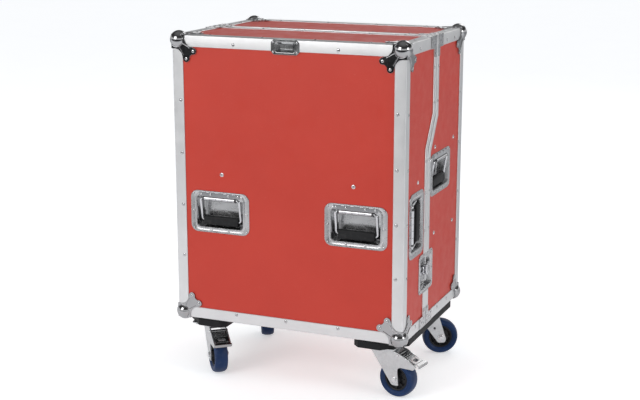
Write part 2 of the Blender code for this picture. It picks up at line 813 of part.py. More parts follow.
def shell_mesh(name, way, face_holes, side_hole, fields):
    """The five panels of one half, glued up as a box that is open towards the other half."""
    meshes = [face_panel_mesh(way, face_holes)]
    meshes += [side_panel_mesh(side, way, side_hole) for side in SIDES.values()]
    meshes += [flat_panel_mesh(way, top) for top in (True, False)]
    return fuse(name, meshes + fields)


# Ball corners

def corner_outline():
    """The leg on one face, in distances from the case corner along its two edges."""
    start = STEP_IN - CORNER_THICKNESS - GAP
    lobe = [
        (CORNER_EDGE_REACH, start),
        (CORNER_EDGE_REACH, CORNER_FLARE_START),
        CORNER_FLARE_MIDDLE,
        (CORNER_FLARE_END, ANGLE_WIDTH - 2 * WELD),
    ]
    lobe += arc((CORNER_LOBE_FAR, CORNER_LOBE_NEAR), CORNER_LOBE_RADIUS, -75.0, 95.0, LOBE_STEPS)
    mirrored = [(b, a) for a, b in reversed(lobe)]
    return [(start, start)] + lobe + [(CORNER_WAIST, CORNER_WAIST)] + mirrored


def corner_pad_outline():
    """The inner part of the leg, which steps down from the edge angles to the panel."""
    edge = ANGLE_WIDTH + GAP
    radius = CORNER_LOBE_RADIUS - STEP_IN
    lobe = arc((CORNER_LOBE_FAR, CORNER_LOBE_NEAR), radius, -75.0, 95.0, LOBE_STEPS)
    waist = CORNER_WAIST - STEP_IN
    start = CORNER_LOBE_FAR - CORNER_LOBE_RADIUS / 2
    mirrored = [(b, a) for a, b in reversed(lobe)]
    return [(edge, edge), (start, edge)] + lobe + [(waist, waist)] + mirrored + [(edge, start)]


def ball_mesh():
    """The part of the ball that stands out of the case's three outer planes."""
    shape = bmesh.new()
    centre = Matrix.Translation((-BALL_INSET, -BALL_INSET, -BALL_INSET))
    tilt = Vector((0.0, 0.0, 1.0)).rotation_difference(Vector((1.0, 1.0, 1.0))).to_matrix().to_4x4()
    bmesh.ops.create_uvsphere(
        shape, u_segments=BALL_SEGMENTS, v_segments=BALL_RINGS, radius=BALL_RADIUS, matrix=centre @ tilt
    )
    ball = mesh_from("ball", shape)
    reach = 2 * BALL_RADIUS
    inside = box_mesh("ball_inside", (-reach, -reach, -reach), (GAP + WELD, GAP + WELD, GAP + WELD))
    return boolean_mesh("ball", ball, inside, "DIFFERENCE")


def ball_corner_mesh():
    """One corner at the origin, for the case corner whose faces look towards +X, +Y and +Z."""
    def on_x(a, b, w):
        return (w, -a, -b)

    def on_y(a, b, w):
        return (-a, w, -b)

    def on_z(a, b, w):
        return (-a, -b, w)

    meshes = [ball_mesh()]
    top = GAP + CORNER_THICKNESS
    for place in (on_x, on_y, on_z):
        meshes.append(plate_mesh("corner_leg", [corner_outline()], place, GAP, top))
        meshes.append(
            plate_mesh("corner_pad", [corner_pad_outline()], place, GAP - PANEL_FACE, top - STEP_IN)
        )
    return fuse("ball_corner", meshes)


def make_ball_corners(materials, datum):
    """All eight are the same part, turned: the underside's are rolled over about X first."""
    mesh = ball_corner_mesh()
    quarters = {("rear", "right"): 0, ("rear", "left"): 1, ("front", "left"): 2, ("front", "right"): 3}
    for (half, word), quarter in quarters.items():
        way = -1 if half == "front" else 1
        for level, z in (("top", CASE_TOP), ("bottom", CASE_BOTTOM)):
            under = level == "bottom"
            spin = quarter + 1 if under else quarter
            turn = (math.pi if under else 0.0, 0.0, spin * math.pi / 2)
            place = (SIDES[word] * HALF_WIDTH, way * HALF_DEPTH, z)
            name = "ball_corner_" + half + "_" + word + "_" + level
            make_object(name, mesh, materials["chrome"], datum, place, turn, True)


# Pressed dishes

def dish_mesh(name, outer, opening, centre_v, depth, taper, seat, sheet, steps):
    """A pressed tray. outer and opening are (half width, half height, corner radius); seat is the
    height of the flange's underside."""
    def ring(size, grow, w, centre):
        half_u, half_v, radius = size
        points = rounded_rectangle(half_u + grow, half_v + grow, max(radius + grow, 0.002), steps, centre)
        return [(u, v, w) for u, v in points]

    rim = seat + sheet
    floor_size = (opening[0] - taper, opening[1] - taper, opening[2])
    rings = [
        ring(floor_size, sheet, rim - depth - sheet, centre_v),
        ring(opening, sheet, seat, centre_v),
        ring(outer, 0.0, seat, 0.0),
        ring(outer, -sheet / 2, rim, 0.0),
        ring(opening, 0.0, rim, centre_v),
        ring(floor_size, 0.0, rim - depth, centre_v),
    ]
    shape = bmesh.new()
    add_loft(shape, rings)
    return mesh_from(name, shape)


# Handles: local X runs along the hinge, Y towards it, Z out of the panel, whose face is at Z = 0

def handle_opening():
    half = (HANDLE_OPENING_TOP - HANDLE_OPENING_BOTTOM) / 2
    middle = (HANDLE_OPENING_TOP + HANDLE_OPENING_BOTTOM) / 2
    return (HANDLE_OPENING_WIDTH / 2, half, HANDLE_OPENING_CORNER), middle


def handle_dish_mesh():
    opening, middle = handle_opening()
    outer = (HANDLE_WIDTH / 2, HANDLE_HEIGHT / 2, HANDLE_CORNER)
    return dish_mesh("handle_dish", outer, opening, middle, HANDLE_DEPTH, HANDLE_TAPER, GAP, SHEET, 3)


def hinge_leaf_mesh():
    """The leaf on the dish's upper rim, rolled into the barrel that holds the bail's ends."""
    under = GAP + SHEET - WELD
    over = GAP + SHEET + LEAF_THICKNESS
    start = math.degrees(math.asin((over - HINGE_W) / BARREL_RADIUS))
    end = 360.0 + math.degrees(math.asin((under - HINGE_W) / BARREL_RADIUS))
    barrel = arc((HINGE_V, HINGE_W), BARREL_RADIUS, start, end, BORE_SEGMENTS)
    outline = [(LEAF_TOP, under), (LEAF_TOP, over)] + barrel
    bore = circle((HINGE_V, HINGE_W), BAIL_RADIUS + RUNNING_GAP, BORE_SEGMENTS)
    return plate_mesh("hinge_leaf", [outline, bore], along_x, -LEAF_LENGTH / 2, LEAF_LENGTH / 2)


def bail_mesh():
    """The bent bar, with the hinge axis at the origin."""
    drop = HINGE_V - GRIP_V
    back = GRIP_W - HINGE_W
    reach = BAIL_HALF_WIDTH
    fall = back / drop
    shape = bmesh.new()
    half = [(reach - BAIL_BEND - BAIL_STUB, 0.0, 0.0)]
    for angle in (0.0, 45.0, 90.0):
        turn = math.radians(angle)
        down = BAIL_BEND * (1 - math.cos(turn))
        half.append((reach - BAIL_BEND + BAIL_BEND * math.sin(turn), -down, fall * down))
    for angle in (0.0, 45.0, 90.0):
        turn = math.radians(angle)
        down = drop - BAIL_BEND + BAIL_BEND * math.sin(turn)
        half.append((reach - BAIL_BEND + BAIL_BEND * math.cos(turn), -down, fall * down))
    path = half + [(-u, v, w) for u, v, w in reversed(half)]
    add_bar(shape, path, BAIL_RADIUS, SMALL_SEGMENTS)
    return mesh_from("bail", shape)


def grip_mesh():
    """The grip moulded round the bail's lower run, wider at the back than at the front."""
    v, w = GRIP_V - HINGE_V, GRIP_W - HINGE_W
    half_v, half_w = GRIP_HEIGHT / 2, GRIP_DEPTH / 2
    corner, draft = GRIP_CORNER, GRIP_DRAFT
    outline = [
        (v - half_v + corner, w - half_w),
        (v + half_v - corner, w - half_w),
        (v + half_v, w - half_w + corner),
        (v + half_v - draft, w + half_w - corner),
        (v + half_v - corner - draft, w + half_w),
        (v - half_v + corner + draft, w + half_w),
        (v - half_v + draft, w + half_w - corner),
        (v - half_v, w - half_w + corner),
    ]
    return plate_mesh("grip", [outline], along_x, -GRIP_LENGTH / 2, GRIP_LENGTH / 2)


def make_handle(name, centre, up, out, meshes, materials, datum):
    across = up.cross(out)
    frame = Matrix((across, up, out)).transposed().to_4x4()
    frame.translation = centre
    place = make_empty(name + "_place", frame, datum)
    make_object(name + "_dish", meshes["dish"], materials["chrome"], place, smooth=True)
    hinge = (0.0, HINGE_V, HINGE_W)
    make_object(name + "_bail", meshes["bail"], materials["chrome"], place, hinge, smooth=True)


def handle_places():
    """Name, centre on the panel face, direction to the hinge and outward direction."""
    up = Vector((0.0, 0.0, 1.0))
    ahead = Vector((0.0, -1.0, 0.0))
    face_y = -(HALF_DEPTH - PANEL_FACE)
    places = []
    for word, side in SIDES.items():
        out = Vector((side, 0.0, 0.0))
        face_x = side * (HALF_WIDTH - PANEL_FACE)
        front = Vector((side * FRONT_HANDLE_X, face_y, CASE_BOTTOM + FRONT_HANDLE_Z))
        cover = Vector((face_x, COVER_HANDLE_Y, CASE_BOTTOM + COVER_HANDLE_Z))
        rear = Vector((face_x, REAR_HANDLE_Y, CASE_BOTTOM + REAR_HANDLE_Z))
        places.append(("front_" + word + "_handle", front, up, ahead))
        places.append(("cover_" + word + "_handle", cover, ahead, out))
        places.append(("rear_" + word + "_handle", rear, up, out))
    return places


def handle_hole(centre_u, centre_v, turned):
    """The cut-out in a panel for a handle's tray. A turned handle has its hinge towards -Y."""
    opening, middle = handle_opening()
    grow = SHEET + GAP
    points = rounded_rectangle(opening[0] + grow, opening[1] + grow, opening[2] + grow, 3, middle)
    if turned:
        return [(centre_u - v, centre_v + u) for u, v in points]
    return [(centre_u + u, centre_v + v) for u, v in points]


def make_handles(materials, datum):
    meshes = {
        "dish": fuse("handle_dish", [handle_dish_mesh(), hinge_leaf_mesh()]),
        "bail": fuse("bail", [bail_mesh(), grip_mesh()]),
    }
    for name, centre, up, out in handle_places():
        make_handle(name, centre, up, out, meshes, materials, datum)


# Latches: local X runs rearwards from the split, Y up, Z out of the panel, whose face is at Z = 0

def latch_tray_mesh():
    """The whole tray, before the closure line parts it."""
    outer = (LATCH_HALF_WIDTH, LATCH_HEIGHT / 2, LATCH_CORNER)
    opening = (LATCH_HALF_WIDTH - LATCH_RIM, LATCH_HEIGHT / 2 - LATCH_RIM, LATCH_CORNER / 2)
    return dish_mesh("latch_tray", outer, opening, 0.0, LATCH_DEPTH, LATCH_TAPER, GAP, SHEET, 3)


def latch_floor():
    """Height of the tray's floor over the panel's face."""
    return GAP + SHEET - LATCH_DEPTH


def latch_half_mesh(way):
    """The tray's part on one side of the split: 1 for the rear half, -1 for the cover."""
    reach = 2 * LATCH_HEIGHT
    low = -reach if way > 0 else -GAP / 2
    high = GAP / 2 if way > 0 else reach
    cut = box_mesh("latch_cut", (low, -reach, -reach), (high, reach, reach))
    return boolean_mesh("latch_half", latch_tray_mesh(), cut, "DIFFERENCE")


def latch_dish_mesh():
    """The rear part with the post that the spindle turns on."""
    floor = latch_floor()
    post = bmesh.new()
    top = floor + GAP + HOOK_THICKNESS + GAP + SPINDLE_THICKNESS / 2
    foot = floor - SHEET / 2
    add_cylinder(post, LATCH_POST_RADIUS, foot, top, SMALL_SEGMENTS, along_z, (SPINDLE_Y, 0.0))
    return fuse("latch_dish", [latch_half_mesh(1), mesh_from("latch_post", post)])


def keeper_dish_mesh():
    """The cover's part with the low catch that the hook's lip stands over."""
    floor = latch_floor()
    start = CATCH_INSET - HOOK_REACH
    low = (start, -HOOK_HALF_WIDTH, floor - SHEET / 2)
    high = (start + CATCH_LENGTH, HOOK_HALF_WIDTH, floor + KEEPER_HEIGHT)
    return fuse("keeper_dish", [latch_half_mesh(-1), box_mesh("catch", low, high)])


def hook_mesh():
    """The draw hook: a strap slotted over the spindle's post, with its lip over the catch."""
    nose = HOOK_HALF_WIDTH * 0.7
    tail = SPINDLE_Y + HOOK_TRAVEL + HOOK_HALF_WIDTH
    outline = [
        (-HOOK_REACH, -nose),
        (HOOK_NOSE_LENGTH - HOOK_REACH, -HOOK_HALF_WIDTH),
        (tail, -HOOK_HALF_WIDTH),
        (tail, HOOK_HALF_WIDTH),
        (HOOK_NOSE_LENGTH - HOOK_REACH, HOOK_HALF_WIDTH),
        (-HOOK_REACH, nose),
    ]
    slot_half = LATCH_POST_RADIUS + RUNNING_GAP
    slot = arc((SPINDLE_Y + HOOK_TRAVEL + RUNNING_GAP, 0.0), slot_half, -90.0, 90.0, 4)
    slot += arc((SPINDLE_Y - RUNNING_GAP, 0.0), slot_half, 90.0, 270.0, 4)
    low = latch_floor() + KEEPER_HEIGHT + GAP
    return plate_mesh("hook", [outline, slot], along_z, low, low + HOOK_THICKNESS)


def spindle_mesh():
    """The turning disc on the post, with the two ears that hold the wing's pin."""
    floor = latch_floor() + KEEPER_HEIGHT + GAP + HOOK_THICKNESS + GAP
    disc = plate_mesh(
        "spindle_disc",
        [
            circle((0.0, 0.0), SPINDLE_RADIUS, 2 * SMALL_SEGMENTS),
            circle((0.0, 0.0), LATCH_POST_RADIUS + RUNNING_GAP, SMALL_SEGMENTS),
        ],
        along_z,
        floor,
        floor + SPINDLE_THICKNESS,
    )
    meshes = [disc]
    for way in (-1, 1):
        near, far = sorted((way * EAR_INNER, way * EAR_OUTER))
        low = (-EAR_HALF_LENGTH, near, floor + SPINDLE_THICKNESS / 2)
        high = (EAR_HALF_LENGTH, far, wing_axis_height() + 2 * WING_PIN_RADIUS)
        meshes.append(box_mesh("ear", low, high))
    pin = bmesh.new()
    add_cylinder(pin, WING_PIN_RADIUS, -WING_PIN_HALF, WING_PIN_HALF, SMALL_SEGMENTS, spindle_pin_place)
    meshes.append(mesh_from("wing_pin", pin))
    return fuse("spindle", meshes)


def wing_axis_height():
    floor = latch_floor() + KEEPER_HEIGHT + GAP + HOOK_THICKNESS + GAP
    return floor + SPINDLE_THICKNESS + WING_AXIS_RISE


def spindle_pin_place(u, v, w):
    return (u, w, wing_axis_height() + v)


def wing_mesh():
    """The butterfly: a hinge eye round the pin and a plate with two round lobes, lying flat."""
    eye = bmesh.new()

    def on_pin(u, v, w):
        return (u, w, v)

    add_plate(
        eye,
        [
            circle((0.0, 0.0), WING_EYE_RADIUS, BORE_SEGMENTS),
            circle((0.0, 0.0), WING_PIN_RADIUS + RUNNING_GAP, SMALL_SEGMENTS),
        ],
        on_pin,
        -WING_EYE_HALF,
        WING_EYE_HALF,
    )
    reach = WING_SPAN / 2 - WING_RADIUS
    lobes = arc((WING_LOBE_X, reach), WING_RADIUS, 170.0, -60.0, 7)
    edge = [(WING_NECK, WING_NECK_HALF), WING_SHOULDER] + lobes
    outline = edge + [(WING_NOTCH, 0.0)] + [(u, -v) for u, v in reversed(edge)]
    half = WING_THICKNESS / 2
    plate = plate_mesh("wing_plate", [outline], along_z, -half, half)
    return fuse("wing", [mesh_from("wing_eye", eye), plate])


def make_latches(materials, datum):
    meshes = {
        "latch_dish": latch_dish_mesh(),
        "keeper_dish": keeper_dish_mesh(),
        "latch_hook": hook_mesh(),
        "latch_spindle": spindle_mesh(),
        "latch_wing": wing_mesh(),
    }
    places = {
        "latch_spindle": (SPINDLE_Y, 0.0, 0.0),
        "latch_wing": (SPINDLE_Y, 0.0, wing_axis_height()),
    }
    rearward = Vector((0.0, 1.0, 0.0))
    for word, side in SIDES.items():
        out = Vector((side, 0.0, 0.0))
        frame = Matrix((rearward, out.cross(rearward), out)).transposed().to_4x4()
        frame.translation = (side * (HALF_WIDTH - PANEL_FACE), SPLIT_LOWER_Y, CASE_BOTTOM + LATCH_Z)
        place = make_empty("latch_" + word + "_place", frame, datum)
        for key, mesh in meshes.items():
            spot = places.get(key, (0.0, 0.0, 0.0))
            make_object(key + "_" + word, mesh, materials["chrome"], place, spot)


# Finger pull

def pull_dish_mesh():
    """The small dish whose taper the fingertips get behind."""
    outer = (PULL_WIDTH / 2, PULL_HEIGHT / 2, PULL_CORNER)
    opening = (PULL_RECESS_WIDTH / 2, PULL_RECESS_HEIGHT / 2, PULL_CORNER / 2)
    mesh = dish_mesh("finger_pull_dish", outer, opening, 0.0, PULL_DEPTH, PULL_TAPER, GAP, SHEET, 1)
    turn = Matrix(((1, 0, 0, 0), (0, 0, -1, -HALF_DEPTH), (0, 1, 0, CASE_BOTTOM + PULL_Z), (0, 0, 0, 1)))
    mesh.transform(turn)
    return mesh


def pull_hole():
    """The hole for it in the front panel and the edge angle."""
    half_x = PULL_RECESS_WIDTH / 2 + SHEET + GAP
    half_z = PULL_RECESS_HEIGHT / 2 + SHEET + GAP
    points = rounded_rectangle(half_x, half_z, PULL_CORNER / 2, 1)
    return [(u, CASE_BOTTOM + PULL_Z + v) for u, v in points]


# Skids

def skid_mesh():
    """One skid for the right side, rebated at its ends for the ball corners' lower leaves."""
    outer = HALF_WIDTH - SKID_INSET
    end = HALF_DEPTH
    outline = [
        (SKID_INNER_X + SKID_INNER_CUT, -end),
        (outer - SKID_OUTER_CUT + SKID_INSET, -end),
        (outer, -end + SKID_OUTER_CUT),
        (outer, end - SKID_OUTER_CUT),
        (outer - SKID_OUTER_CUT + SKID_INSET, end),
        (SKID_INNER_X + SKID_INNER_CUT, end),
        (SKID_INNER_X, end - SKID_INNER_CUT),
        (SKID_INNER_X, -end + SKID_INNER_CUT),
    ]
    board = plate_mesh("skid", [outline], along_z, SKID_BOTTOM, CASE_BOTTOM - GAP)
    depth = CORNER_THICKNESS + 2 * GAP
    for way in (-1, 1):
        near, far = sorted((way * (end - SKID_REBATE_REACH), way * (end + SKID_INSET)))
        low = (HALF_WIDTH - SKID_REBATE_REACH, near, CASE_BOTTOM - GAP - depth)
        high = (HALF_WIDTH + SKID_INSET, far, CASE_BOTTOM + GAP)
        board = boolean_mesh("skid", board, box_mesh("skid_rebate", low, high), "DIFFERENCE")
    return board


# Casters: local X points the way the wheel trails, Z is up, the swivel axis is at the origin

def caster_plate_mesh():
    half_x, half_y = CASTER_PLATE_WIDTH / 2, CASTER_PLATE_LENGTH / 2
    outline = rounded_rectangle(half_x, half_y, CASTER_PLATE_CORNER, 2)
    plate = plate_mesh("caster_plate", [outline], along_z, PLATE_TOP - CASTER_PLATE_THICKNESS, PLATE_TOP)
    race = bmesh.new()
    race_top = PLATE_TOP - CASTER_PLATE_THICKNESS / 2
    race_bottom = PLATE_TOP - CASTER_PLATE_THICKNESS - RACE_HEIGHT
    rings = []
    for radius, height in (
        (RACE_RADIUS - RACE_CHAMFER, race_bottom),
        (RACE_RADIUS, race_bottom + RACE_CHAMFER),
        (RACE_RADIUS, race_top),
    ):
        rings.append([(u, v, height) for u, v in circle((0.0, 0.0), radius, 2 * SMALL_SEGMENTS)])
    add_loft(race, rings)
    return fuse("caster_plate", [plate, mesh_from("race", race)])


def crown_top():
    return PLATE_TOP - CASTER_PLATE_THICKNESS - RACE_HEIGHT - GAP


def leg_outline(braked):
    axle_x, axle_z = CASTER_OFFSET, WHEEL_RADIUS
    top = crown_top()
    foot = axle_z - LEG_FOOT
    outline = [
        (FORK_CROWN_FRONT, top),
        (FORK_CROWN_FRONT, top - FORK_SHEET),
        (axle_x - LEG_FOOT_FRONT, foot + LEG_FOOT_RISE),
        (axle_x - LEG_FOOT_FRONT + LEG_FOOT_CHAMFER, foot),
        (axle_x + LEG_FOOT_REAR - LEG_FOOT_CHAMFER, foot),
        (axle_x + LEG_FOOT_REAR, foot + LEG_FOOT_RISE),
    ]
    if not braked:
        rear = (axle_x + LEG_REAR, axle_z - LEG_REAR_DROP)
        return outline + [rear, (FORK_CROWN_REAR, top - FORK_SHEET), (FORK_CROWN_REAR, top)]
    under = axle_z + BRAKE_ARM_UNDER
    root = (axle_x + BRAKE_ARM_ROOT, under - BRAKE_ARM_HEIGHT)
    outline += arc(root, BRAKE_ARM_HEIGHT, 180.0, 90.0, 3)
    outline += [
        (BRAKE_ARM_END - BRAKE_ARM_HEIGHT, under),
        (BRAKE_ARM_END, under + BRAKE_ARM_HEIGHT),
        BRAKE_ARM_SHOULDER,
        (FORK_CROWN_REAR, top),
    ]
    return outline


def fork_mesh(braked):
    """The pressed fork: a crown plate and two legs, with the axle bolt and the brake's pin."""
    inner = HUB_WIDTH / 2 + RUNNING_GAP
    outer = inner + FORK_SHEET
    top = crown_top()
    low = (FORK_CROWN_FRONT, -outer, top - FORK_SHEET)
    meshes = [box_mesh("crown", low, (FORK_CROWN_REAR, outer, top))]
    for low, high in ((-outer, -inner), (inner, outer)):
        meshes.append(plate_mesh("leg", [leg_outline(braked)], along_y, low, high))
    meshes.append(axle_mesh(outer))
    if braked:
        pin = bmesh.new()
        centre = (PEDAL_START, PEDAL_TOP)
        add_cylinder(pin, PEDAL_PIN_RADIUS, -inner - WELD, inner + WELD, BORE_SEGMENTS, along_y, centre)
        meshes.append(mesh_from("brake_pin", pin))
    return fuse("fork", meshes)


def axle_mesh(outer):
    """The axle bolt, with its head and its nut outside the legs."""
    shape = bmesh.new()
    centre = (CASTER_OFFSET, WHEEL_RADIUS)
    head = BOLT_HEAD_RADIUS
    near, far = outer - WELD, outer + BOLT_HEAD_HEIGHT
    rings = []
    for radius, height in (
        (head, -far),
        (head, -near),
        (AXLE_RADIUS, -near),
        (AXLE_RADIUS, near),
        (head, near),
        (head, far),
    ):
        rings.append([along_y(u, v, height) for u, v in circle(centre, radius, BORE_SEGMENTS)])
    add_loft(shape, rings)
    return mesh_from("axle", shape)


def wheel_place(u, v, w):
    return (u, w, v)


def tyre_mesh():
    half, shoulder = TYRE_WIDTH / 2, TYRE_SHOULDER
    inner = RIM_RADIUS + GAP
    profile = [
        (inner, -RIM_WIDTH / 2),
        (inner + TYRE_BEAD, -half + 2 * WELD),
        (WHEEL_RADIUS - shoulder, -half),
        (WHEEL_RADIUS, -half + shoulder),
        (WHEEL_RADIUS, half - shoulder),
        (WHEEL_RADIUS - shoulder, half),
        (inner + TYRE_BEAD, half - 2 * WELD),
        (inner, RIM_WIDTH / 2),
    ]
    shape = bmesh.new()
    add_turning(shape, profile, WHEEL_SEGMENTS, wheel_place)
    return mesh_from("tyre", shape)


def rim_mesh():
    """The moulded wheel centre: bearing hub, dished web and the seat of the tyre."""
    bore = AXLE_RADIUS + RUNNING_GAP
    hub, seat, web = HUB_WIDTH / 2, RIM_WIDTH / 2, RIM_WEB_HALF
    profile = [
        (bore, -hub),
        (HUB_RADIUS, -hub),
        (HUB_RADIUS, -web),
        (RIM_RADIUS - RIM_WEB_EDGE, -web),
        (RIM_RADIUS - RIM_FLANGE, -seat),
        (RIM_RADIUS, -seat),
        (RIM_RADIUS, seat),
        (RIM_RADIUS - RIM_FLANGE, seat),
        (RIM_RADIUS - RIM_WEB_EDGE, web),
        (HUB_RADIUS, web),
        (HUB_RADIUS, hub),
        (bore, hub),
    ]
    shape = bmesh.new()
    add_turning(shape, profile, WHEEL_SEGMENTS, wheel_place)
    return mesh_from("rim", shape)


def pedal_mesh():
    """The brake pedal, its pivot at the origin: a sloping tread with a window and a turned lip."""
    half = HUB_WIDTH / 2 - RUNNING_GAP
    length = PEDAL_END - PEDAL_START
    drop = PEDAL_DROP / length
    narrow = BRAKE_ARM_END - PEDAL_START + 2 * WELD
    wide = narrow + PEDAL_HEEL

    def on_slope(u, v, w):
        return (u, v, -drop * u + w)

    outline = [
        (-PEDAL_HEEL, -half),
        (narrow, -half),
        (wide, -PEDAL_TIP_HALF_WIDTH),
        (length, -PEDAL_TIP_HALF_WIDTH),
        (length, PEDAL_TIP_HALF_WIDTH),
        (wide, PEDAL_TIP_HALF_WIDTH),
        (narrow, half),
        (-PEDAL_HEEL, half),
    ]
    window = rectangle(*PEDAL_WINDOW, -PEDAL_WINDOW_HALF, PEDAL_WINDOW_HALF)
    tread = plate_mesh("tread", [outline, window], on_slope, -PEDAL_THICKNESS / 2, PEDAL_THICKNESS / 2)
    low = (length - PEDAL_LIP_THICKNESS, -PEDAL_TIP_HALF_WIDTH, -PEDAL_DROP - PEDAL_LIP_HEIGHT)
    lip = box_mesh("lip", low, (length, PEDAL_TIP_HALF_WIDTH, -PEDAL_DROP))
    low = (0.0, -SHOE_HALF_WIDTH, SHOE_BOTTOM)
    shoe = box_mesh("shoe", low, (SHOE_LENGTH, SHOE_HALF_WIDTH, SHOE_TOP))
    barrel = bmesh.new()
    add_cylinder(barrel, PEDAL_BARREL_RADIUS, -half, half, BORE_SEGMENTS, wheel_place)
    bore = bmesh.new()
    reach = half + SHEET
    add_cylinder(bore, PEDAL_PIN_RADIUS + RUNNING_GAP, -reach, reach, BORE_SEGMENTS, wheel_place)
    pedal = fuse("pedal", [tread, lip, shoe, mesh_from("pedal_barrel", barrel)])
    return boolean_mesh("pedal", pedal, mesh_from("pedal_bore", bore), "DIFFERENCE")


def make_casters(materials, datum):
    forks = {True: fork_mesh(True), False: fork_mesh(False)}
    tyre, rim, pedal = tyre_mesh(), rim_mesh(), pedal_mesh()
    plate = caster_plate_mesh()
    for word, degrees in SWIVEL_DEGREES.items():
        half, hand = word.split("_")
        braked = half == "front"
        spot = (SIDES[hand] * CASTER_X, -CASTER_Y if braked else CASTER_Y, 0.0)
        turn = Matrix.Translation(spot) @ Matrix.Rotation(math.radians(degrees), 4, "Z")
        swivel = make_empty(word + "_swivel", turn, datum)
        axle = (CASTER_OFFSET, 0.0, WHEEL_RADIUS)
        make_object(word + "_caster_plate", plate, materials["zinc"], datum, spot)
        make_object(word + "_fork", forks[braked], materials["zinc"], swivel)
        make_object(word + "_wheel_rim", rim, materials["black_plastic"], swivel, axle, smooth=True)
        make_object(word + "_tyre", tyre, materials["blue_tyre"], swivel, axle, smooth=True)
        if braked:
            pivot = (PEDAL_START, 0.0, PEDAL_TOP)
            make_object(word + "_brake_pedal", pedal, materials["zinc"], swivel, pivot)


# Inner fittings

def inner_half_width():
    return HALF_WIDTH - PANEL_BACK - FITTING_CLEARANCE


def cradle_mesh():
    """The foot board of the rear half, with a round seat for each extinguisher."""
    half = inner_half_width()
    near = SPLIT_LOWER_Y + CLOSURE_INNER_FLANGE + FITTING_CLEARANCE
    far = HALF_DEPTH - PANEL_BACK - FITTING_CLEARANCE
    low = CASE_BOTTOM + PANEL_BACK + GAP
    outline = [(-half, near), (half, near), (half, far), (-half, far)]
    seats = [circle((index * BAY_SPACING, BAY_Y), BAY_RADIUS, BAY_SEGMENTS) for index in (-1, 0, 1)]
    return plate_mesh("base_cradle", [outline] + seats, along_z, low, low + CRADLE_THICKNESS)


def shelf_mesh(height):
    """A retaining shelf of the rear half, open to the front in a slot for each extinguisher."""
    half = inner_half_width()
    far = HALF_DEPTH - PANEL_BACK - FITTING_CLEARANCE
    outline = [(half, SHELF_FRONT_Y), (half, far), (-half, far), (-half, SHELF_FRONT_Y)]
    for index in (-1, 0, 1):
        middle = index * BAY_SPACING
        outline.append((middle - BAY_RADIUS, SHELF_FRONT_Y))
        outline += arc((middle, BAY_Y), BAY_RADIUS, 180.0, 0.0, BAY_SEGMENTS // 2)
        outline.append((middle + BAY_RADIUS, SHELF_FRONT_Y))
    low = CASE_BOTTOM + height - SHELF_THICKNESS / 2
    return plate_mesh("shelf", [outline], along_z, low, low + SHELF_THICKNESS)


def cover_shelf_mesh():
    """The cover's shelf: it reaches past the split and bears on the extinguishers' fronts."""
    wide = inner_half_width()
    half = wide - COVER_SHELF_CLEARANCE
    near = -(HALF_DEPTH - PANEL_BACK - FITTING_CLEARANCE)
    radius = BAY_RADIUS + COVER_SHELF_BAY_CLEARANCE
    start = math.degrees(math.asin((COVER_SHELF_REAR_Y - BAY_Y) / radius))
    narrow = COVER_SHELF_NARROW_HALF
    outline = [(-wide, near), (wide, near), (wide, COVER_SHELF_STEP_Y)]
    outline += [(half, COVER_SHELF_STEP_Y), (half, COVER_SHELF_NARROW_Y)]
    outline += [(narrow, COVER_SHELF_NARROW_Y), (narrow, COVER_SHELF_REAR_Y)]
    for index in (1, 0, -1):
        outline += arc((index * BAY_SPACING, BAY_Y), radius, start, -180.0 - start, BAY_SEGMENTS // 2)
    outline += [(-narrow, COVER_SHELF_REAR_Y), (-narrow, COVER_SHELF_NARROW_Y)]
    outline += [(-half, COVER_SHELF_NARROW_Y), (-half, COVER_SHELF_STEP_Y), (-wide, COVER_SHELF_STEP_Y)]
    low = CASE_BOTTOM + COVER_SHELF_Z - SHELF_THICKNESS / 2
    return plate_mesh("cover_shelf", [outline], along_z, low, low + SHELF_THICKNESS)


# Assembly

def make_shells(materials, datum):
    height = CASE_BOTTOM + FRONT_HANDLE_Z
    front_holes = [handle_hole(side * FRONT_HANDLE_X, height, False) for side in SIDES.values()]
    front_holes.append(pull_hole())
    cover_hole = handle_hole(COVER_HANDLE_Y, CASE_BOTTOM + COVER_HANDLE_Z, True)
    rear_hole = handle_hole(REAR_HANDLE_Y, CASE_BOTTOM + REAR_HANDLE_Z, False)
    red = materials["red_laminate"]
    cover = shell_mesh("cover_shell", -1, front_holes, cover_hole, cover_fields())
    rear = shell_mesh("rear_shell", 1, [], rear_hole, rear_fields())
    make_object("cover_shell", cover, red, datum)
    make_object("rear_shell", rear, red, datum)


def make_metalwork(materials, datum):
    make_object("cover_frame", frame_mesh("cover_frame", -1), materials["aluminium"], datum)
    make_object("rear_frame", frame_mesh("rear_frame", 1), materials["aluminium"], datum)
    make_ball_corners(materials, datum)
    make_object("finger_pull_dish", pull_dish_mesh(), materials["chrome"], datum)


def make_inside(materials, datum):
    wood = materials["bare_wood"]
    make_object("base_cradle", cradle_mesh(), wood, datum)
    make_object("rear_lower_shelf", shelf_mesh(LOWER_SHELF_Z), wood, datum)
    make_object("rear_upper_shelf", shelf_mesh(UPPER_SHELF_Z), wood, datum)
    make_object("cover_shelf", cover_shelf_mesh(), wood, datum)


def make_skids(materials, datum):
    skid = skid_mesh()
    black = materials["black_wood"]
    make_object("skid_board_right", skid, black, datum)
    make_object("skid_board_left", skid, black, datum, turn=(0.0, 0.0, math.pi))


def main():
    clear_scene()
    materials = make_materials()
    datum = make_empty("case_datum", Matrix.Translation((CASE_CENTRE_X, CASE_CENTRE_Y, 0.0)), None)
    make_shells(materials, datum)
    make_metalwork(materials, datum)
    make_handles(materials, datum)
    make_latches(materials, datum)
    make_inside(materials, datum)
    make_skids(materials, datum)
    make_casters(materials, datum)


main()
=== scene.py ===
import math

import bmesh
import bpy
from mathutils import Matrix, Vector


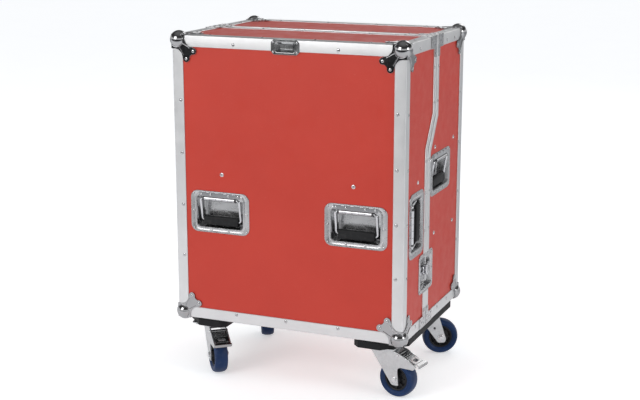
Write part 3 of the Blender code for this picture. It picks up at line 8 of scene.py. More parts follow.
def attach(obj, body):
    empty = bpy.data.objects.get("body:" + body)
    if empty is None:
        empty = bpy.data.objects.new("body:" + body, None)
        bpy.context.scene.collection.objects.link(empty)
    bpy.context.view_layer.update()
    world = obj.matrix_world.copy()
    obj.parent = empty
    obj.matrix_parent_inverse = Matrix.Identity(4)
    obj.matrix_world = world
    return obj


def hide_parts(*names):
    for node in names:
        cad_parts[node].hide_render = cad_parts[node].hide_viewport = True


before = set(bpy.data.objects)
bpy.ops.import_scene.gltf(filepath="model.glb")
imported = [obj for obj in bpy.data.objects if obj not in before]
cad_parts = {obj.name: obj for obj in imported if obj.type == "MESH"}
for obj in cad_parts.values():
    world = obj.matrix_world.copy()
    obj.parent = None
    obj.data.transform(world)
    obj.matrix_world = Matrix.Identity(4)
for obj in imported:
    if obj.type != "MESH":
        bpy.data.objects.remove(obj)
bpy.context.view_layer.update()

# Sizes shared with the model, in metres
CASE_X, CASE_Y = -0.015, 0.009
HALF_WIDTH, HALF_DEPTH = 0.32, 0.238
BOTTOM = 0.16
TOP = BOTTOM + 0.76
GAP = 0.0003
PANEL_FACE = 0.0023
SHEET = 0.0015
DISH_TOP = GAP + SHEET
ANGLE_WIDTH = 0.03
ANGLE_THICKNESS = 0.002
SPLIT_UPPER, SPLIT_LOWER = 0, -0.057
DOGLEG_LOW, DOGLEG_HIGH = 0.469, 0.557
FLANGE = 0.022
LATCH_Z = 0.148
LATCH_HALF_HEIGHT = 0.053
LATCH_HALF_WIDTH = 0.056
SPINDLE_Y = 0.016
WHEEL_RADIUS = 0.05
CASTER_OFFSET = 0.04
PLATE_TOP = WHEEL_RADIUS + 0.0894
SKID_BOTTOM = PLATE_TOP + GAP
CASTERS = {
    "front_left": (-0.25, -0.168, -50),
    "front_right": (0.25, -0.168, -10),
    "rear_left": (-0.25, 0.168, -62),
    "rear_right": (0.25, 0.168, 25),
}
shift = Matrix.Translation
CASE = shift((CASE_X, CASE_Y, 0))
SIDES = (("left", -1), ("right", 1))
UP, DOWN = Vector((0, 0, 1)), Vector((0, 0, -1))
EAST, WEST = Vector((1, 0, 0)), Vector((-1, 0, 0))
AHEAD, REARWARD = Vector((0, -1, 0)), Vector((0, 1, 0))
MATH, VECTOR_MATH = "ShaderNodeMath", "ShaderNodeVectorMath"


# Shape helpers

def arc(centre, radius, start, end, steps):
    points = []
    for index in range(steps + 1):
        angle = math.radians(start + (end - start) * index / steps)
        points.append((centre[0] + radius * math.cos(angle), centre[1] + radius * math.sin(angle)))
    return points


def circle(centre, radius, steps):
    return arc(centre, radius, 0, 360 * (steps - 1) / steps, steps - 1)


def rounded(half_u, half_v, radius, steps, centre_v=0, centre_u=0):
    points = []
    for quarter, (side_u, side_v) in enumerate(((1, 1), (-1, 1), (-1, -1), (1, -1))):
        middle = (centre_u + side_u * (half_u - radius), centre_v + side_v * (half_v - radius))
        points += arc(middle, radius, 90 * quarter, 90 * quarter + 90, steps)
    return points


def rectangle(low_u, high_u, low_v, high_v):
    return [(low_u, low_v), (high_u, low_v), (high_u, high_v), (low_u, high_v)]


def round_corners(points, radius, steps=4, skip=()):
    """A polygon with each of its corners rounded off."""
    out = []
    count = len(points)
    for index, point in enumerate(points):
        here = Vector(point)
        before = (Vector(points[index - 1]) - here)
        after = (Vector(points[(index + 1) % count]) - here)
        if index in skip or radius <= 0:
            out.append(tuple(here))
            continue
        half = before.angle(after) / 2
        reach = min(radius / math.tan(half), before.length * 0.48, after.length * 0.48)
        start = here + before.normalized() * reach
        end = here + after.normalized() * reach
        for step in range(steps + 1):
            t = step / steps
            out.append(tuple(start * (1 - t) ** 2 + here * 2 * t * (1 - t) + end * t ** 2))
    return out


def along_x(u, v, w):
    return (w, u, v)


def along_y(u, v, w):
    return (u, w, v)


def along_z(u, v, w):
    return (u, v, w)


def plate(shape, loops, place, low, high):
    """A flat plate between two heights: the first loop is its outline, the others are holes."""
    flat = bmesh.new()
    edges = []
    for loop in loops:
        corners = [flat.verts.new((u, v, 0)) for u, v in loop]
        for start, end in zip(corners, corners[1:] + corners[:1]):
            edges.append(flat.edges.new((start, end)))
    if len(loops) == 1:
        flat.faces.new(list(flat.verts))
    else:
        bmesh.ops.triangle_fill(flat, use_beauty=True, use_dissolve=False, edges=edges)
    flat.verts.index_update()
    points = [(v.co.x, v.co.y) for v in flat.verts]
    under = [shape.verts.new(place(u, v, low)) for u, v in points]
    over = [shape.verts.new(place(u, v, high)) for u, v in points]
    for face in flat.faces:
        corners = [v.index for v in face.verts]
        shape.faces.new([over[i] for i in corners])
        shape.faces.new([under[i] for i in reversed(corners)])
    for edge in flat.edges:
        if len(edge.link_faces) == 1:
            a, b = (v.index for v in edge.verts)
            shape.faces.new((under[a], under[b], over[b], over[a]))
    flat.free()


def loft(shape, rings, materials=None):
    """A skin through rings of points, closed at both ends."""
    made = [[shape.verts.new(point) for point in ring] for ring in rings]
    for stretch, (first, second) in enumerate(zip(made, made[1:])):
        for index in range(len(first)):
            after = (index + 1) % len(first)
            face = shape.faces.new((first[index], first[after], second[after], second[index]))
            if materials:
                face.material_index = materials[stretch]
    shape.faces.new(list(reversed(made[0])))
    shape.faces.new(made[-1])


def turned(shape, profile, segments, place, closed=False):
    """A turned skin through (radius, height) points; a radius of 0 closes it on the axis."""
    rings = []
    for radius, height in profile:
        ring = circle((0, 0), radius, segments) if radius else [(0, 0)]
        rings.append([shape.verts.new(place(u, v, height)) for u, v in ring])
    if closed:
        rings.append(rings[0])
    for first, second in zip(rings, rings[1:]):
        for index in range(segments):
            after = (index + 1) % segments
            if len(first) == 1:
                shape.faces.new((first[0], second[after], second[index]))
            elif len(second) == 1:
                shape.faces.new((first[index], first[after], second[0]))
            else:
                shape.faces.new((first[index], first[after], second[after], second[index]))


def tube(shape, path, radius, segments):
    points = [Vector(point) for point in path]
    rings = []
    side = None
    for index, point in enumerate(points):
        before = points[max(index - 1, 0)]
        after = points[min(index + 1, len(points) - 1)]
        ahead = (after - before).normalized()
        if side is None:
            side = ahead.orthogonal().normalized()
        side = (side - ahead * side.dot(ahead)).normalized()
        up = ahead.cross(side)
        ring = []
        for step in range(segments):
            angle = 2 * math.pi * step / segments
            ring.append(point + radius * (math.cos(angle) * side + math.sin(angle) * up))
        rings.append(ring)
    loft(shape, rings)


def sweep(shape, section, path, outs, intos, materials=None):
    """A bar of (into, out) section points along a path, mitred at each bend."""
    last = len(path) - 1
    rings = []
    for index, point in enumerate(path):
        stretch = min(index, last - 1)
        ahead = (path[stretch + 1] - path[stretch]).normalized()
        normal = ahead
        if 0 < index < last:
            normal = (ahead + (point - path[index - 1]).normalized()).normalized()
        ring = []
        for u, w in section:
            offset = intos[stretch] * u + outs[stretch] * w
            ring.append(point + offset - ahead * (offset.dot(normal) / ahead.dot(normal)))
        rings.append(ring)
    loft(shape, rings, materials=materials)


def merge(shape, other, matrix):
    """Adds a moved copy of another bmesh."""
    mesh = bpy.data.meshes.new("copy")
    other.to_mesh(mesh)
    mesh.transform(matrix)
    if matrix.determinant() < 0:
        mesh.flip_normals()
    shape.from_mesh(mesh)
    bpy.data.meshes.remove(mesh)


def moved(form, matrix):
    copy = bmesh.new()
    merge(copy, form, matrix)
    return copy


def add(shape, matrix, make, *values, **options):
    """Adds what plate, loft, turned or tube makes of the values, moved by a matrix."""
    form = bmesh.new()
    make(form, *values, **options)
    merge(shape, form, matrix)
    form.free()


def to_mesh(name, shape):
    """Turns a bmesh into a mesh and frees it."""
    bmesh.ops.recalc_face_normals(shape, faces=shape.faces)
    mesh = bpy.data.meshes.new(name)
    shape.to_mesh(mesh)
    shape.free()
    return mesh


def link_object(name, data):
    obj = bpy.data.objects.new(name, data)
    bpy.context.collection.objects.link(obj)
    return obj


def place_mesh(name, mesh, materials, body, slot, node=None, bevel=0, angle=35, matrix=CASE):
    """Makes a scene object that rides on a body and stands for a node of the solids."""
    obj = link_object(name, mesh)
    if not mesh.materials:
        for material in materials if isinstance(materials, list) else [materials]:
            mesh.materials.append(material)
    mesh.shade_smooth()
    mesh.set_sharp_from_angle(angle=math.radians(angle))
    if bevel:
        modifier = obj.modifiers.new("bevel", "BEVEL")
        modifier.width = bevel
        modifier.segments = 2
        modifier.limit_method = "ANGLE"
        modifier.angle_limit = math.radians(angle)
        modifier.harden_normals = True
    obj.matrix_world = matrix
    replaces = (node,) if node else ()
    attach(obj, body)
    if replaces:
        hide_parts(*replaces)


def piece(name, shape, *values, **options):
    """Makes a scene object of a bmesh; the rest is what place_mesh takes."""
    place_mesh(name, to_mesh(name, shape), *values, **options)


# Materials

class Tree:
    """A node tree, with a short method for each kind of node that is used here."""

    def __init__(self, owner):
        owner.use_nodes = True
        self.nodes, self.links = owner.node_tree.nodes, owner.node_tree.links

    def feed(self, socket, value):
        """Links an output to a socket, or sets a plain value on it."""
        if isinstance(value, bpy.types.NodeSocket):
            self.links.new(value, socket)
        elif socket.type == "RGBA":
            socket.default_value = (*value, 1)
        else:
            socket.default_value = value

    def add(self, kind, out, values):
        """Adds a node, feeds its inputs and gives one of its outputs."""
        node = self.nodes.new(kind)
        for name, value in values.items():
            self.feed(node.inputs[name], value)
        return node.outputs[out]

    def calculate(self, kind, operation, *values):
        node = self.nodes.new(kind)
        node.operation = operation
        for socket, value in zip(node.inputs, values):
            self.feed(socket, value)
        return node.outputs[0]

    def split(self, vector):
        return self.add("ShaderNodeSeparateXYZ", "X", {"Vector": vector}).node.outputs

    def ramp(self, value, stops):
        out = self.add("ShaderNodeValToRGB", "Color", {"Fac": value})
        elements = out.node.color_ramp.elements
        while len(elements) < len(stops):
            elements.new(0.5)
        for element, (position, colour) in zip(elements, stops):
            element.position = position
            element.color = (*colour, 1) if isinstance(colour, tuple) else (colour, colour, colour, 1)
        return out

    def limits(self, value, low, high, from_low=0.3, from_high=0.7):
        return self.add("ShaderNodeMapRange", "Result", {
            "From Min": from_low, "From Max": from_high, "To Min": low, "To Max": high, "Value": value,
        })

    def mix(self, factor, first, second):
        node = self.nodes.new("ShaderNodeMix")
        node.data_type = "RGBA"
        for name, value in (("Factor", factor), ("A", first), ("B", second)):
            self.feed(node.inputs[name], value)
        return node.outputs["Result"]


class Surface(Tree):
    """A material with a Principled shader, in the object's own coordinates."""

    def __init__(self, name, colour, roughness, metallic=0, specular=0.5):
        self.material = bpy.data.materials.new(name)
        super().__init__(self.material)
        self.sockets = self.nodes["Principled BSDF"].inputs
        self.coords = self.nodes.new("ShaderNodeTexCoord").outputs["Object"]
        for socket, value in (("Roughness", roughness), ("Metallic", metallic), ("Specular IOR Level", specular)):
            self.set(socket, value)
        self.set("Base Color", colour)

    def set(self, name, value):
        self.feed(self.sockets[name], value)

    def noise(self, scale, detail=4, stretch=None, coords=None):
        coords = coords or self.coords
        if stretch:
            coords = self.add("ShaderNodeMapping", "Vector", {"Scale": stretch, "Vector": coords})
        return self.add("ShaderNodeTexNoise", "Fac", {
            "Scale": scale, "Detail": detail, "Roughness": 0.6, "Vector": coords,
        })

    def bump(self, height, strength, distance, below=None):
        values = {"Strength": strength, "Distance": distance, "Height": height}
        if below:
            values["Normal"] = below
        normal = self.add("ShaderNodeBump", "Normal", values)
        self.set("Normal", normal)
        return normal

    def scratches(self, amount):
        """Thin, sparse lines at two angles, from 0 to 1."""
        found = []
        for turn, stretch in ((0.4, (1, 60, 60)), (1.2, (60, 60, 1))):
            tilted = self.add("ShaderNodeMapping", "Vector", {
                "Rotation": (turn, turn * 0.7, turn), "Vector": self.coords,
            })
            found.append(self.limits(self.noise(6, 2, stretch, tilted), 0, amount, 0.7, 0.76))
        return self.calculate(MATH, "MAXIMUM", *found)

    def birch(self):
        grain = self.noise(9, 6, (1, 14, 14))
        return self.ramp(grain, ((0.3, (0.42, 0.27, 0.15)), (0.55, (0.6, 0.43, 0.26)), (0.75, (0.68, 0.52, 0.34))))


def scaled(colour, share):
    return tuple(min(c * share, 1) for c in colour)


def laminate_material():
    """Red phenolic laminate outside, bare birch inside and on the cut edges."""
    look = Surface("red_laminate", (0.565, 0.036, 0.017), 0.4)
    red = look.ramp(look.noise(5, 5), ((0.3, (0.548, 0.034, 0.016)), (0.7, (0.588, 0.04, 0.02))))
    red = look.mix(look.scratches(0.22), red, (0.7, 0.2, 0.16))
    reach = PANEL_FACE + 0.0012
    half = (HALF_WIDTH - reach, HALF_DEPTH - reach, (TOP - BOTTOM) / 2 - reach)
    offset = look.calculate(VECTOR_MATH, "SUBTRACT", look.coords, (CASE_X, CASE_Y, (BOTTOM + TOP) / 2))
    share = look.calculate(VECTOR_MATH, "ABSOLUTE", look.calculate(VECTOR_MATH, "DIVIDE", offset, half))
    x, y, z = look.split(share)
    largest = look.calculate(MATH, "MAXIMUM", look.calculate(MATH, "MAXIMUM", x, y), z)
    outside = look.limits(largest, 0, 1, 0.9999, 1.0001)
    look.set("Base Color", look.mix(outside, look.birch(), red))
    pebble = look.add("ShaderNodeTexVoronoi", "Distance", {"Scale": 620, "Vector": look.coords})
    pebble.node.feature = "SMOOTH_F1"
    skin = look.bump(pebble, 0.22, 0.0004)
    look.bump(look.noise(14, 3), 0.05, 0.002, skin)
    look.set("Roughness", look.limits(look.noise(30, 6), 0.36, 0.5))
    return look.material


def metal_material(name, colour, roughness, metallic=1, stretch=None, spots=None, wear=0.15, cloudy=1, bumpy=1):
    """Plated or bare metal: brushed along one axis if stretch says so, with smudges and scratches."""
    look = Surface(name, colour, roughness, metallic)
    dark, light = scaled(colour, 1 - 0.1 * cloudy), scaled(colour, 1 + 0.06 * cloudy)
    shade = look.ramp(look.noise(18, 5), ((0.32, dark), (0.68, light)))
    if spots:
        patch = look.add("ShaderNodeTexVoronoi", "Color", {"Scale": 260, "Vector": look.coords})
        shade = look.mix(look.limits(patch, 0, spots, 0.2, 0.9), shade, scaled(colour, 0.72))
    look.set("Base Color", look.mix(look.scratches(wear), shade, scaled(colour, 0.6)))
    low, high = roughness * (1 - 0.2 * cloudy), roughness * (1 + 0.35 * cloudy)
    look.set("Roughness", look.limits(look.noise(40, 6), low, high))
    below = look.bump(look.noise(60 * bumpy, 3), 0.06 * cloudy * bumpy, 0.0006)
    if stretch:
        look.bump(look.noise(900, 3, stretch), 0.1, 0.0002, below)
    return look.material


def rubber_material(name, colour, roughness, grain):
    look = Surface(name, colour, roughness, specular=0.25)
    cloud = look.noise(25, 5)
    light = tuple(c * 1.25 + 0.004 for c in colour)
    shade = look.ramp(cloud, ((0.3, scaled(colour, 0.8)), (0.7, light)))
    dust = look.limits(look.noise(90, 6), 0, 0.06, 0.52, 0.75)
    look.set("Base Color", look.mix(dust, shade, (0.35, 0.34, 0.33)))
    look.set("Roughness", look.limits(cloud, roughness * 0.88, roughness * 1.15))
    look.bump(look.noise(grain, 3), 0.25, 0.0003)
    return look.material


def board_material():
    look = Surface("black_board", (0.02, 0.02, 0.02), 0.55, specular=0.2)
    grain = look.noise(30, 6, (12, 1, 12))
    paint = look.ramp(grain, ((0.3, (0.007, 0.007, 0.008)), (0.7, (0.018, 0.018, 0.019))))
    chips = look.limits(look.noise(120, 6), 0, 0.5, 0.66, 0.72)
    look.set("Base Color", look.mix(chips, paint, (0.12, 0.1, 0.08)))
    look.set("Roughness", look.limits(grain, 0.5, 0.68))
    look.bump(grain, 0.3, 0.0005)
    return look.material


def birch_material():
    look = Surface("birch_plywood", (0.58, 0.42, 0.26), 0.6)
    plies = look.add("ShaderNodeTexWave", "Fac", {"Scale": 220, "Distortion": 0.6, "Vector": look.coords})
    plies.node.bands_direction = "Z"
    normal = look.nodes.new("ShaderNodeNewGeometry").outputs["Normal"]
    upright = look.calculate(MATH, "ABSOLUTE", look.split(normal)["Z"])
    edge = look.calculate(MATH, "MULTIPLY", look.limits(upright, 0.55, 0, 0.4, 0.6), plies)
    look.set("Base Color", look.mix(edge, look.birch(), (0.25, 0.14, 0.07)))
    fine = look.noise(70, 5, (1, 10, 10))
    look.set("Roughness", look.limits(fine, 0.5, 0.7))
    look.bump(fine, 0.2, 0.0004)
    return look.material


RED = laminate_material()
ALUMINIUM = [
    metal_material("aluminium_along_" + axis, (0.74, 0.74, 0.745), 0.42, 0.88, stretch, cloudy=0.35)
    for axis, stretch in (("x", (0.02, 1, 1)), ("y", (1, 0.02, 1)), ("z", (1, 1, 0.02)))
]
BRACE = metal_material("brace_steel", (0.62, 0.62, 0.63), 0.22, 0.95, spots=0.9, bumpy=3)
CORNER = metal_material("ball_corner_steel", (0.4, 0.4, 0.41), 0.1, 1, wear=0.08)
CHROME = metal_material("chrome", (0.6, 0.6, 0.62), 0.07, 1, wear=0.06)
DISH = metal_material("dish_steel", (0.56, 0.56, 0.57), 0.26, 1, (0.02, 1, 1), wear=0.12)
RIVET = metal_material("rivet", (0.7, 0.7, 0.71), 0.22, 1)
# Near-black steel for painted shade: in rivet holes, round each rivet's foot and in the screws' slots
PAINTED_SHADE = metal_material("fastener_painted_shade", (0.1, 0.1, 0.105), 0.5, 0.8)
ZINC = metal_material("zinc_steel", (0.62, 0.63, 0.64), 0.33, 0.92, spots=0.35)
SPRING = metal_material("spring_steel", (0.12, 0.12, 0.125), 0.35, 0.9)
PEDAL = metal_material("pedal_steel", (0.36, 0.365, 0.37), 0.2, 1, wear=0.1)
GRIP = rubber_material("grip_rubber", (0.009, 0.009, 0.01), 0.5, 900)
TYRE = rubber_material("blue_tyre", (0.006, 0.028, 0.098), 0.42, 700)
RIM = rubber_material("rim_plastic", (0.016, 0.016, 0.018), 0.38, 500)
BOARD = board_material()
BIRCH = birch_material()


# Fasteners

def rivet_shape(radius, height):
    """A pop rivet's dome with the mandrel's stub in its hole; the axis is +Z. The hole and the dome's foot take the
    dark second material: painted shade in the hole, painted shadow round the foot.
    """
    shape = bmesh.new()
    hole, floor = radius * 0.34, height * 0.45
    profile = [
        (0, floor + 0.0002), (hole * 0.7, floor + 0.0002), (hole * 0.8, floor),
        (hole, floor), (hole * 1.15, height * 0.96), (radius * 0.62, height * 0.86),
        (radius * 0.82, height * 0.55), (radius * 0.86, height * 0.14), (radius, height * 0.1), (radius, -0.0004),
    ]
    turned(shape, profile, 14, along_z)
    # Faces in the hole and round the foot take the dark material: painted shade in the hole and painted shadow at the
    # foot
    for face in shape.faces:
        reach = face.calc_center_median().xy.length
        if reach < hole * 1.01 or reach > radius * 0.88:
            face.material_index = 1
    return shape


RIVET_BIG = rivet_shape(0.0044, 0.0014)
RIVET_SMALL = rivet_shape(0.0034, 0.0012)


def screw_shape():
    """A domed cross-slot screw on its washer; the axis is +Z. The slot is two dark bars laid on the dome, painted
    shade in place of a recessed slot.
    """
    shape = bmesh.new()
    turned(shape, [(0, 0.0008), (0.005, 0.0008), (0.0054, 0.0005), (0.0054, -0.0004)], 20, along_z)
    dome = [(0, 0.0031), (0.0012, 0.0031), (0.0024, 0.0028), (0.0034, 0.0019), (0.0038, 0.0008), (0.0038, 0.0006)]
    turned(shape, dome, 20, along_z)
    # The slot's two bars take the dark material: painted shade of the slot
    plain = len(shape.faces)
    plate(shape, [rectangle(-0.002, 0.002, -0.0004, 0.0004)], along_z, 0.0028, 0.00318)
    plate(shape, [rectangle(-0.0004, 0.0004, -0.002, 0.002)], along_z, 0.0028, 0.00319)
    for face in list(shape.faces)[plain:]:
        face.material_index = 1
    return shape


def facing(point, normal):
    """A matrix that puts +Z along a normal at a point."""
    return shift(point) @ UP.rotation_difference(Vector(normal)).to_matrix().to_4x4()


def scatter(name, shape, spots, body, slot, base=CASE):
    """Copies of a fastener at (point, normal) spots, in one piece."""
    made = bmesh.new()
    for point, normal in spots:
        merge(made, shape, facing(point, normal))
    # The second material is the dark painted shade of rivet holes, rivet feet and screw slots
    piece(name, made, [RIVET, PAINTED_SHADE], body, slot, angle=40, matrix=base)


def upward(places, height):
    """Spots at (u, v) places that all face +Z."""
    return [((u, v, height), UP) for u, v in places]


# Metal profiles

def closure_path(side):
    x = side * HALF_WIDTH
    return [
        Vector((x, SPLIT_LOWER, BOTTOM)),
        Vector((x, SPLIT_LOWER, BOTTOM + DOGLEG_LOW)),
        Vector((x, SPLIT_UPPER, BOTTOM + DOGLEG_HIGH)),
        Vector((x, SPLIT_UPPER, TOP)),
    ]


def latch_span():
    middle = BOTTOM + LATCH_Z
    return middle - LATCH_HALF_HEIGHT - GAP, middle + LATCH_HALF_HEIGHT + GAP


def closure_runs(way):
    """The closure line above and below the latches: path, outward and inward directions."""
    left, right = closure_path(-1), closure_path(1)
    low, high = latch_span()
    flat = Vector((0, way, 0))
    slope = (right[2] - right[1]).normalized()
    sloped = Vector((0, slope.z, -slope.y)) * way
    upper = [Vector((right[0].x, right[0].y, high))] + right[1:]
    upper += list(reversed(left[1:])) + [Vector((left[0].x, left[0].y, high))]
    lower = [Vector((right[0].x, right[0].y, low)), right[0], left[0], Vector((left[0].x, left[0].y, low))]
    return (
        (upper, [EAST] * 3 + [UP] + [WEST] * 3, [flat, sloped, flat, flat, flat, sloped, flat], [2, 2, 2, 0, 2, 2, 2]),
        (lower, [EAST, DOWN, WEST], [flat] * 3, [2, 0, 2]),
    )


def closure_section(tongue, ridged):
    """The whole extrusion: flange with a softened edge, ridge, wall, inner flange, tongue or groove."""
    wall = 0.00175 if tongue else 0.0071
    middle, inner = -0.0068, -0.0116
    half, tip = (0.0015, -0.0045) if tongue else (0.0021, 0.0055)
    face, ridge = GAP / 2, 0.0018
    top = [(face, ridge - 0.0003), (face + 0.0003, ridge), (0.0034, ridge), (0.004, ridge - 0.0003), (0.0044, 0)]
    if not ridged:
        top = [(face, -0.0002), (face + 0.0003, 0), (0.004, 0)]
    return [
        (FLANGE - 0.0006, 0), (FLANGE, -0.0006), (FLANGE, -ANGLE_THICKNESS), (wall, -ANGLE_THICKNESS),
        (wall, inner), (0.016, inner), (0.016, inner - 0.0016), (face, inner - 0.0016),
        (face, middle - half), (tip, middle - half), (tip, middle + half), (face, middle + half),
    ] + top + [(0.0085, 0), (0.0088, -0.0003), (0.0092, -0.0003), (0.0095, 0)]


def angle_section():
    """One L with a rounded outer corner and softened edges, as distances inwards from the corner."""
    outer = arc((0.0024, 0.0024), 0.0024, 180, 270, 5)
    return [(0, ANGLE_WIDTH - 0.0006)] + outer + [
        (ANGLE_WIDTH - 0.0006, 0), (ANGLE_WIDTH, 0.0006), (ANGLE_WIDTH, ANGLE_THICKNESS),
        (0.003, ANGLE_THICKNESS), (ANGLE_THICKNESS, 0.003), (ANGLE_THICKNESS, ANGLE_WIDTH), (0.0006, ANGLE_WIDTH),
    ]


def edge_angle(shape, start, end, first, second, index):
    rings = []
    for point in (start, end):
        rings.append([point + first * u + second * w for u, w in angle_section()])
    loft(shape, rings, materials=[index])


def half_profiles(name, way, node, body):
    """Edge angles and closure extrusion of one half."""
    shape = bmesh.new()
    for ridged, (path, outs, intos, indices) in zip((True, False), closure_runs(way)):
        sweep(shape, closure_section(way < 0, ridged), path, outs, intos, indices)
    y = way * HALF_DEPTH
    inward_y = Vector((0, -way, 0))
    back, pull = 0.0145, 0.0268
    ends = ((BOTTOM, UP, SPLIT_LOWER), (TOP, DOWN, SPLIT_UPPER))
    for side in (-1, 1):
        x = side * HALF_WIDTH
        inward_x = Vector((-side, 0, 0))
        edge_angle(shape, Vector((x, y, BOTTOM + back)), Vector((x, y, TOP - back)), inward_x, inward_y, 2)
        for z, inward_z, split in ends:
            end = Vector((x, split + way * (FLANGE + GAP), z))
            edge_angle(shape, Vector((x, y - way * back, z)), end, inward_x, inward_z, 1)
    for z, inward_z, _ in ends:
        lengths = [(-HALF_WIDTH + back, HALF_WIDTH - back)]
        if way < 0 and z == TOP:
            lengths = [(-HALF_WIDTH + back, -pull), (pull, HALF_WIDTH - back)]
            thin, edge = TOP - ANGLE_THICKNESS, -HALF_DEPTH
            plate(shape, [rectangle(-pull, pull, edge, edge + ANGLE_WIDTH)], along_z, thin, TOP)
            plate(shape, [rectangle(-pull, pull, TOP - 0.0063, thin)], along_y, edge, edge + ANGLE_THICKNESS)
        for start, end in lengths:
            edge_angle(shape, Vector((start, y, z)), Vector((end, y, z)), inward_y, inward_z, 0)
    piece(name, shape, ALUMINIUM, body, "aluminium_profile", node, angle=30)


def brace_loop(start, low, head, stem):
    """A brace's T-shaped half, its free corners rounded."""
    points = [(start, low), (0.05, low), (0.05, head), (0.0218, head), (0.0218, stem), (start, stem)]
    return round_corners(points, 0.004, 4, skip=(0, 1, 3, 5) if low < 0 else (0, 3, 5))


def half_braces(name, way, node, body):
    shape = bmesh.new()
    spots = []
    start, lift = 0.0042, 0.0016
    bent, flat = brace_loop(start, -lift, 0.031, 0.054), brace_loop(start, 0.001, 0.031, 0.05)
    for side in (-1, 1):
        def side_top(a, b, w, side=side):
            return (side * (HALF_WIDTH + w), SPLIT_UPPER + way * a, TOP - b)

        def on_top(a, b, w, side=side):
            return (side * (HALF_WIDTH - b), SPLIT_UPPER + way * a, TOP + w)

        def side_foot(a, b, w, side=side):
            return (side * (HALF_WIDTH + w), SPLIT_LOWER + way * a, BOTTOM + b)

        arms = ((bent, side_top, (side, 0, 0)), (bent, on_top, UP), (flat, side_foot, (side, 0, 0)))
        for outline, place, _ in arms:
            plate(shape, [outline], place, 0.0002, lift)
        for a, b in ((0.013, 0.009), (0.013, 0.023), (0.03, 0.016), (0.044, 0.009), (0.044, 0.023), (0.013, 0.044)):
            spots += [(place(a, b, lift), out) for _, place, out in arms]
    piece(name, shape, BRACE, body, "zinc_steel", node, bevel=0.0005)
    scatter(name + "_rivets", RIVET_SMALL, spots, body, "zinc_steel")


def profile_rivets():
    """Pop rivets along the angles and the closure extrusions."""
    for body, way in (("cover", -1), ("rear_half", 1)):
        y = way * HALF_DEPTH
        wide = [(x, z) for x in (-0.299, 0.299) for z in (0.1725, 0.312, 0.451, 0.59)]
        wide += [(x, 0.74) for x in (-0.145, 0.143)] + [(x, 0.023) for x in (-0.147, -0.003, 0.144)]
        spots = [((x, y, BOTTOM + z), (0, way, 0)) for x, z in wide]
        deep = [(way * 0.213, z) for z in (0.169, 0.308, 0.447, 0.586)]
        deep += [(way * d, 0.74) for d in ((0.135,) if way < 0 else (0.085, 0.15))]
        deep += [(way * d, 0.02) for d in ((0.137,) if way < 0 else (0.045, 0.13))]
        for z in (0.262, 0.362, 0.445, 0.59, 0.68):
            deep.append(((SPLIT_LOWER if z < DOGLEG_LOW else SPLIT_UPPER) + way * 0.0155, z))
        for side in (-1, 1):
            spots += [((side * HALF_WIDTH, d, BOTTOM + z), (side, 0, 0)) for d, z in deep]
            spots.append(((side * 0.3, way * 0.12, TOP), UP))
        spots += upward([(x, way * 0.0155) for x in (-0.165, -0.064, 0.037, 0.138, 0.239)], TOP)
        spots += upward([(x, y - way * 0.02) for x in (-0.22, -0.073, 0.073, 0.22)], TOP)
        scatter(body + "_profile_rivets", RIVET_BIG, spots, body, "aluminium_profile")


def panel_screws():
    shape = screw_shape()
    face, back = HALF_WIDTH - PANEL_FACE, HALF_DEPTH - PANEL_FACE
    cover = [((x, -back, BOTTOM + 0.4), AHEAD) for x in (-0.184, 0.184)]
    rear = [((x, back, BOTTOM + z), REARWARD) for x in (-0.184, 0.184) for z in (0.237, 0.469)]
    for out in (WEST, EAST):
        cover.append(((out.x * face, -0.131, BOTTOM + 0.401), out))
        for y, z in ((0.005, 0.469), (0.164, 0.469), (0.008, 0.237), (0.17, 0.235)):
            rear.append(((out.x * face, y, BOTTOM + z), out))
    scatter("cover_panel_screws", shape, cover, "cover", "zinc_steel")
    scatter("rear_panel_screws", shape, rear, "rear_half", "zinc_steel")


# Ball corners

BALL_RADIUS, BALL_CENTRE = 0.0235, -0.013
CORNER_SHEET = 0.0016
CORNER_RIVETS = ((0.061, 0.041), (0.041, 0.061))


def on_x(a, b, w):
    return (w, -a, -b)


def on_y(a, b, w):
    return (-a, w, -b)


def on_z(a, b, w):
    return (-a, -b, w)


def swapped(points):
    return [(b, a) for a, b in reversed(points)]


def corner_shape():
    """One pressed corner for the case corner whose faces look towards +X, +Y and +Z."""
    shape = bmesh.new()
    top = GAP + CORNER_SHEET
    start = 0.0002 - CORNER_SHEET - GAP
    lobe = [(0.036, start), (0.036, 0.01), (0.0385, 0.019), (0.047, 0.0275)]
    lobe += arc(CORNER_RIVETS[0], 0.009, -80, 110, 9) + [(0.0545, 0.0515)]
    edge = ANGLE_WIDTH + GAP
    pad_lobe = arc(CORNER_RIVETS[0], 0.0088, -80, 110, 9)
    pad = [(edge, edge), (0.0535, edge)] + pad_lobe + [(0.0543, 0.0513), (0.0513, 0.0543)]
    pad += swapped(pad_lobe) + [(edge, 0.0535)]
    rib = [(0.026, 0.019), (0.04, 0.0265), (0.052, 0.0335)]
    for place in (on_x, on_y, on_z):
        plate(shape, [[(start, start)] + lobe + swapped(lobe)], place, GAP, top)
        plate(shape, [pad], place, GAP - PANEL_FACE, top - 0.0003)
        tube(shape, [place(a, b, top) for a, b in rib], 0.0011, 8)
        tube(shape, [place(b, a, top) for a, b in rib], 0.0011, 8)
    return shape


def corner_ball():
    """The ball, with half-round beads where it meets each leg."""
    shape = bmesh.new()
    spot = facing((BALL_CENTRE,) * 3, (1, 1, 1))
    profile = [(0, BALL_RADIUS)]
    for step in range(1, 17):
        angle = math.radians(112 * step / 16)
        profile.append((BALL_RADIUS * math.sin(angle), BALL_RADIUS * math.cos(angle)))
    turned(shape, profile, 40, lambda u, v, w: spot @ Vector((u, v, w)))
    reach = math.sqrt(BALL_RADIUS ** 2 - 0.0149 ** 2) + 0.0006
    for axis in range(3):
        path = []
        for u, v in arc((BALL_CENTRE, BALL_CENTRE), reach, 135, 315, 24):
            point = [0.0021] * 3
            point[(axis + 1) % 3], point[(axis + 2) % 3] = u, v
            path.append(point)
        tube(shape, path, 0.001, 8)
    return shape


